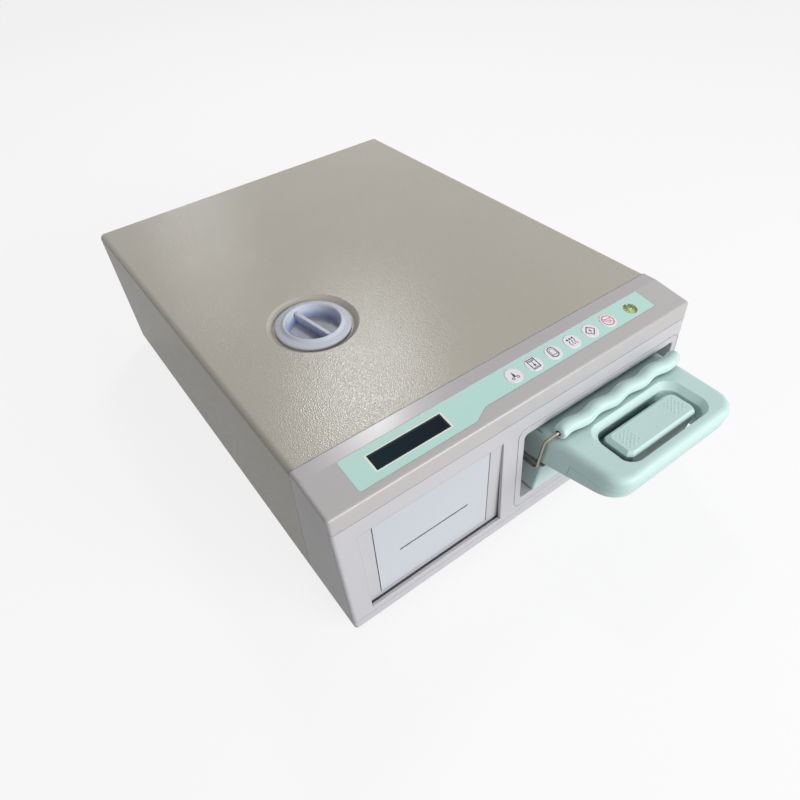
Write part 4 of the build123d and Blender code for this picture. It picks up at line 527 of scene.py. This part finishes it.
def print_film(name, shapes, to_space, lift, material, body):
    """Closed film from flat 2D polygons, raised from the surface by its thickness."""
    mesh = bpy.data.meshes.new(name)
    work = bmesh.new()
    for shape in shapes:
        low = [work.verts.new(to_space(point[0], point[1], lift - FILM_SINK)) for point in shape]
        high = [work.verts.new(to_space(point[0], point[1], lift + FILM)) for point in shape]
        work.faces.new(high)
        work.faces.new(list(reversed(low)))
        for index in range(len(shape)):
            after = (index + 1) % len(shape)
            work.faces.new((low[index], low[after], high[after], high[index]))
    bmesh.ops.recalc_face_normals(work, faces=work.faces)
    work.to_mesh(mesh)
    work.free()
    place_mesh(name, mesh, material, body)


def mirrored(points):
    """The same points on the other side."""
    return [(-x, y) for x, y in points]


# Radius of a key's top, the ring printed round it, and the key whose symbol is red
KEY_RADIUS = 7.7
HALO_GAP = 0.36
HALO_WIDTH = 0.66
STOP_KEY = 6

# Widths of the outlines and of the inner lines in the symbols
LINE = 0.85
FINE = 0.5


def wave_line(x):
    """Line that waves to and fro as it falls."""
    steps = 26
    return [(x + 0.6 * sin(2 * pi * 1.4 * i / steps), 2.4 - 6.8 * i / steps) for i in range(steps + 1)]


def arch(left, right, low, top, count=14):
    """Two upright sides joined by a round top."""
    middle = (left + right) / 2
    reach = (right - left) / 2
    spring = top - reach * 0.9
    bow = [
        (middle + reach * cos(pi * i / count), spring + (top - spring) * sin(pi * i / count))
        for i in range(count + 1)
    ]
    return [(right, low)] + bow + [(left, low)]


def key_marks():
    """The six key symbols as flat polygons round each key's centre."""
    blade = [(0.05, 4.0), (1.0, 0.4), (1.25, -1.3), (0.05, -0.8)]
    scissors = [blade, list(reversed(mirrored(blade)))]
    for side in (-1, 1):
        scissors += line_quads([(side * 0.9, -1.0), (-side * 1.9, -2.2)], 0.7)
        scissors += line_quads(round_points(side * 2.6, -2.9, 1.15, 26), 0.6, True)
    wrapped = line_quads([(-3.9, -4.9), (3.9, -4.9), (3.9, 5.6), (-3.9, 5.6)], LINE, True)
    wrapped += line_quads([(-3.9, 4.1), (3.9, 4.1)], FINE)
    wrapped += line_quads([(-2.8, 4.1), (-2.0, 3.0), (2.0, 3.0), (2.8, 4.1)], FINE)
    wrapped += line_quads([(0.0, 3.0), (0.0, -0.6)], 0.6)
    wrapped.append([(1.25 * x, y - 1.5) for x, y in round_points(0, 0, 1.0, 22)])
    wrapped += line_quads([(-2.4, -3.7), (2.4, -3.7)], FINE)
    pouch = line_quads(arch(-3.7, 4.1, -3.3, 5.9), LINE)
    pouch += line_quads([(-3.7, -3.2), (-1.4, -5.0), (1.8, -5.0), (4.1, -3.2)], LINE)
    pouch += line_quads(arch(-2.3, 2.7, -2.5, 4.2), FINE)
    pouch += line_quads([(-3.7, -3.2), (-2.3, -2.5), (2.7, -2.5), (4.1, -3.2)], FINE)
    steam = []
    for x in (-2.9, 0.1, 3.1):
        steam.append(round_points(x, 3.2, 1.05, 24))
        steam += line_quads(wave_line(x), 0.65)
    start = line_quads([(-5.3, 0.0), (0.0, -5.0), (5.3, 0.0), (0.0, 5.0)], LINE, True)
    start += line_quads([(0.9, 2.3), (-0.8, 0.2), (0.8, 0.0), (-0.9, -2.3)], 0.6)
    stop = line_quads(round_points(0, 0, 5.7, 60), LINE, True)
    stop += line_quads([(-4.3, 1.7), (4.3, 1.7), (0.0, -3.2)], FINE, True)
    stop += line_quads([(-4.0, 4.0), (4.0, -4.0)], FINE)
    return [scissors, wrapped, pouch, steam, start, stop]


key_halo = line_quads(round_points(0, 0, KEY_RADIUS + HALO_GAP, 64), HALO_WIDTH, True)
for number, marks in enumerate(key_marks(), 1):
    button = f"button_{number}"
    ink = ink_rose if number == STOP_KEY else ink_navy
    top = strip_box(button)[2][1]

    def on_key(x, y, lift, middle=strip_middle(button)):
        return on_strip(middle[0] + x, middle[1] + y, lift)

    print_film(f"key_mark_{number}", marks, on_key, top, ink, f"key_{number}")
    print_film(f"key_halo_{number}", key_halo, on_key, 0.0, ink_blush, "cabinet")


def frame_quads(outer, inner):
    """Four flat sides between two rectangles given as left, low, right and high."""
    corners = [
        [(box[0], box[1]), (box[2], box[1]), (box[2], box[3]), (box[0], box[3])] for box in (outer, inner)
    ]
    quads = []
    for index in range(4):
        after = (index + 1) % 4
        quads.append([corners[0][index], corners[0][after], corners[1][after], corners[1][index]])
    return quads


def grown(box, left, low, right, high):
    """A rectangle let out on its four sides, or taken in where a value is negative."""
    return (box[0] - left, box[1] - low, box[2] + right, box[3] + high)


# Printed border of the display window, and a black band behind its glass that is painted shade from the
# window's recess walls
BORDER_WIDTHS = (1.7, 1.05, 1.7, 0.95)
SHADE_BAND_WIDTHS = (0.8, 1.05, 1.2, 1.35)
SHADE_BAND_PLAY = 0.05
window_across, window_up, window_above = strip_box("lcd_window")
window = (window_across[0], window_up[0], window_across[1], window_up[1])
window_border = frame_quads(grown(window, *BORDER_WIDTHS), window)
print_film("window_border", window_border, on_strip, 0.0, ink_cream, "cabinet")
shade_band_outside = grown(window, *[-SHADE_BAND_PLAY] * 4)
shade_band_inside = grown(window, *[-width for width in SHADE_BAND_WIDTHS])
window_shade_band = frame_quads(shade_band_outside, shade_band_inside)
print_film("window_shade_band", window_shade_band, on_strip, window_above[1], shade_black, "cabinet")

# Pale line along the label's top edge, from past its slanted end
EDGE_WIDTH = 0.4
EDGE_DROP = 0.25
EDGE_START = 2.6
EDGE_END = 0.2
label_across, label_up, label_above = strip_box("keypad_label")
edge_row = label_up[1] - EDGE_DROP
edge_line = [(label_across[0] + EDGE_START, edge_row), (label_across[1] - EDGE_END, edge_row)]
label_edge = line_quads(edge_line, EDGE_WIDTH)
print_film("label_edge", label_edge, on_strip, label_above[1], ink_blush, "cabinet")

# Level: ring on the label, liquid in the cup and a flattened bubble under the lens
RING_RADIUS = 7.2
RING_WIDTH = 0.8
level_x, level_row = strip_middle("level_vial")
level_ring = line_quads(round_points(level_x, level_row, RING_RADIUS, 72), RING_WIDTH, True)
print_film("level_ring", level_ring, on_strip, 0.0, ink_blush, "cabinet")


def turned(name, profile, axis_point, material, body, count=64):
    """Body of revolution about the strip's normal, from radius and lift pairs."""
    mesh = bpy.data.meshes.new(name)
    work = bmesh.new()
    rings = []
    for radius, lift in profile:
        if radius < 1e-6:
            rings.append([work.verts.new(on_strip(axis_point[0], axis_point[1], lift))])
            continue
        rings.append([
            work.verts.new(on_strip(axis_point[0] + x, axis_point[1] + y, lift))
            for x, y in round_points(0, 0, radius, count)
        ])
    for low, high in zip(rings, rings[1:]):
        for index in range(count):
            after = (index + 1) % count
            if len(low) == 1:
                work.faces.new((low[0], high[after], high[index]))
            elif len(high) == 1:
                work.faces.new((low[index], low[after], high[0]))
            else:
                work.faces.new((low[index], low[after], high[after], high[index]))
    bmesh.ops.recalc_face_normals(work, faces=work.faces)
    for face in work.faces:
        face.smooth = True
    work.to_mesh(mesh)
    work.free()
    place_mesh(name, mesh, material, body)


liquid = Finish("level_liquid", srgb(176, 206, 58), 0.12, Coat_Weight=0.6)
# Painted shade: the liquid is darker towards the back, upper side of its cup.
back_shade_share = liquid.along("Y", *LIQUID_SPAN)
liquid_finish = liquid.wire(liquid.blend(back_shade_share, srgb(86, 120, 22), srgb(206, 228, 84)))
bubble = Finish("level_bubble", srgb(214, 232, 120), 0.08, Coat_Weight=0.8)
bubble.bump(bubble.noise(2 * MM, 1.0), 0.05 * MM, 0.3)
bubble_finish = bubble.wire(bubble.blend(bubble.noise(3 * MM), srgb(196, 218, 90), srgb(232, 244, 160)))
turned(
    "level_fluid",
    [(0.0, -7.4), (5.6, -7.4), (5.6, -2.6), (5.3, -2.2), (0.0, -2.2)],
    (level_x, level_row), liquid_finish, "cabinet",
)
turned(
    "level_bubble",
    [(2.2, -2.3), (2.5, -2.1), (2.4, -1.85), (1.8, -1.72), (0.0, -1.66)],
    (level_x + 0.6, level_row - 0.5), bubble_finish, "cabinet", 40,
)

# Raised grip dots at both ends of the thumb pad, in millimetres
PAD_WIDTH = 86.0
PAD_SKIRT = 3.0
DOT_RADIUS = 0.95
DOT_HEIGHT = 0.42
DOT_SINK = 0.05
DOT_ROW_PITCH = 3.6
DOT_COLUMN_PITCH = 2.7
DOT_SIDES = 14
DOT_COLUMNS = 6
DOT_ROWS = (5, 4)
DOT_MARGIN_X = 5.0
DOT_MARGIN_Y = 4.4


def dome_rows(centres, radius, height, base):
    """Low round domes standing on a level surface."""
    work = bmesh.new()
    for x, y in centres:
        rings = []
        for share in (0.0, 0.35, 0.7, 0.92):
            angle = share * pi / 2
            reach = radius * cos(angle)
            lift = base + height * sin(angle)
            round_ring = round_points(x, y, reach, DOT_SIDES)
            rings.append([work.verts.new(Vector((px, py, lift)) * MM) for px, py in round_ring])
        for low, high in zip(rings, rings[1:]):
            for index in range(DOT_SIDES):
                after = (index + 1) % DOT_SIDES
                work.faces.new((low[index], low[after], high[after], high[index]))
        work.faces.new(rings[-1])
    bmesh.ops.recalc_face_normals(work, faces=work.faces)
    for face in work.faces:
        face.smooth = True
    return work


handle_low, handle_high = [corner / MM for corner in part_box("tray_handle")]
pad_middle = (handle_low.x + handle_high.x) / 2
pad_front = handle_low.y + PAD_SKIRT
dots = []
for direction in (1, -1):
    end = pad_middle - direction * (PAD_WIDTH / 2 - DOT_MARGIN_X)
    for column in range(DOT_COLUMNS):
        shift = DOT_ROW_PITCH / 2 if column % 2 else 0.0
        for row in range(DOT_ROWS[column % 2]):
            dot_x = end + direction * column * DOT_COLUMN_PITCH
            dot_y = pad_front + DOT_MARGIN_Y + shift + row * DOT_ROW_PITCH
            dots.append((dot_x, dot_y))
pad_dots = bpy.data.meshes.new("pad_dots")
dot_work = dome_rows(dots, DOT_RADIUS, DOT_HEIGHT, handle_high.z - DOT_SINK)
dot_work.to_mesh(pad_dots)
dot_work.free()
place_mesh("pad_dots", pad_dots, mint_dots, "cassette")


# Floor, surroundings and lamps
def add_lamp(name, energy, size, place, target, color=(1.0, 1.0, 1.0)):
    """Large soft lamp aimed at a point."""
    data = bpy.data.lights.new(name, "AREA")
    data.energy = energy
    data.shape = "RECTANGLE"
    data.size, data.size_y = size
    data.color = color
    lamp = bpy.data.objects.new(name, data)
    lamp.location = place
    aim = Vector(target) - Vector(place)
    lamp.rotation_euler = aim.to_track_quat("-Z", "Y").to_euler()
    bpy.context.scene.collection.objects.link(lamp)


FLOOR_REACH = 6.0
floor_mesh = bpy.data.meshes.new("floor")
floor_mesh.from_pydata(
    [(x * FLOOR_REACH, y * FLOOR_REACH, 0.0) for x, y in ((-1, -1), (1, -1), (1, 1), (-1, 1))],
    [], [(0, 1, 2, 3)],
)
floor = bpy.data.objects.new("floor", floor_mesh)
bpy.context.scene.collection.objects.link(floor)
floor_mesh.materials.append(glow_floor())

# White to the camera, in reflections and through clear parts, and a dim studio for all other light
STUDIO_TINT = (0.96, 0.98, 1.0, 1.0)
STUDIO_STRENGTH = 0.25
world = bpy.data.worlds.new("studio")
bpy.context.scene.world = world
world.use_nodes = True
sky = world.node_tree
sky.nodes.clear()
ray_kind = sky.nodes.new("ShaderNodeLightPath")
either = sky.nodes.new("ShaderNodeMath")
either.operation = "MAXIMUM"
also = sky.nodes.new("ShaderNodeMath")
also.operation = "MAXIMUM"
studio = sky.nodes.new("ShaderNodeBackground")
studio.inputs["Color"].default_value = STUDIO_TINT
studio.inputs["Strength"].default_value = STUDIO_STRENGTH
white = sky.nodes.new("ShaderNodeBackground")
white.inputs["Color"].default_value = WHITE
white.inputs["Strength"].default_value = 1.0
choice = sky.nodes.new("ShaderNodeMixShader")
output = sky.nodes.new("ShaderNodeOutputWorld")
sky.links.new(ray_kind.outputs["Is Camera Ray"], either.inputs[0])
sky.links.new(ray_kind.outputs["Is Glossy Ray"], either.inputs[1])
sky.links.new(either.outputs["Value"], also.inputs[0])
sky.links.new(ray_kind.outputs["Is Transmission Ray"], also.inputs[1])
sky.links.new(also.outputs["Value"], choice.inputs["Fac"])
sky.links.new(studio.outputs["Background"], choice.inputs[1])
sky.links.new(white.outputs["Background"], choice.inputs[2])
sky.links.new(choice.outputs["Shader"], output.inputs["Surface"])

add_lamp("key_light", 30.0, (1.4, 1.0), (0.75, -1.85, 0.95), (0.0, -0.15, 0.1))
add_lamp("fill_light", 11.0, (1.3, 0.8), (-0.35, -2.1, 0.7), (0.0, -0.2, 0.1))
add_lamp("sheen_light", 7.0, (0.2, 0.42), (0.63, 0.97, 1.5), (-0.11, -0.13, 0.15), (0.99, 1.0, 1.0))
add_lamp("far_sheen_light", 0.7, (0.14, 0.14), (0.36, 1.78, 1.05), (-0.12, 0.17, 0.157))

# Camera, solved on the edges of the body in the photograph
camera_data = bpy.data.cameras.new("camera")
camera_data.lens = 24.306
camera_data.sensor_width = 36.0
camera_data.shift_x = 0.06542
camera_data.shift_y = 0.07061
camera_data.clip_start = 0.01
camera = bpy.data.objects.new("camera", camera_data)
camera.location = (-0.290685, -0.396116, 0.474488)
camera.rotation_euler = Euler((radians(38.9556), radians(3.4298), radians(-34.5148)), "XYZ")
bpy.context.scene.collection.objects.link(camera)
bpy.context.scene.camera = camera
bpy.context.scene.view_settings.view_transform = "Standard"

bpy.context.view_layer.update()
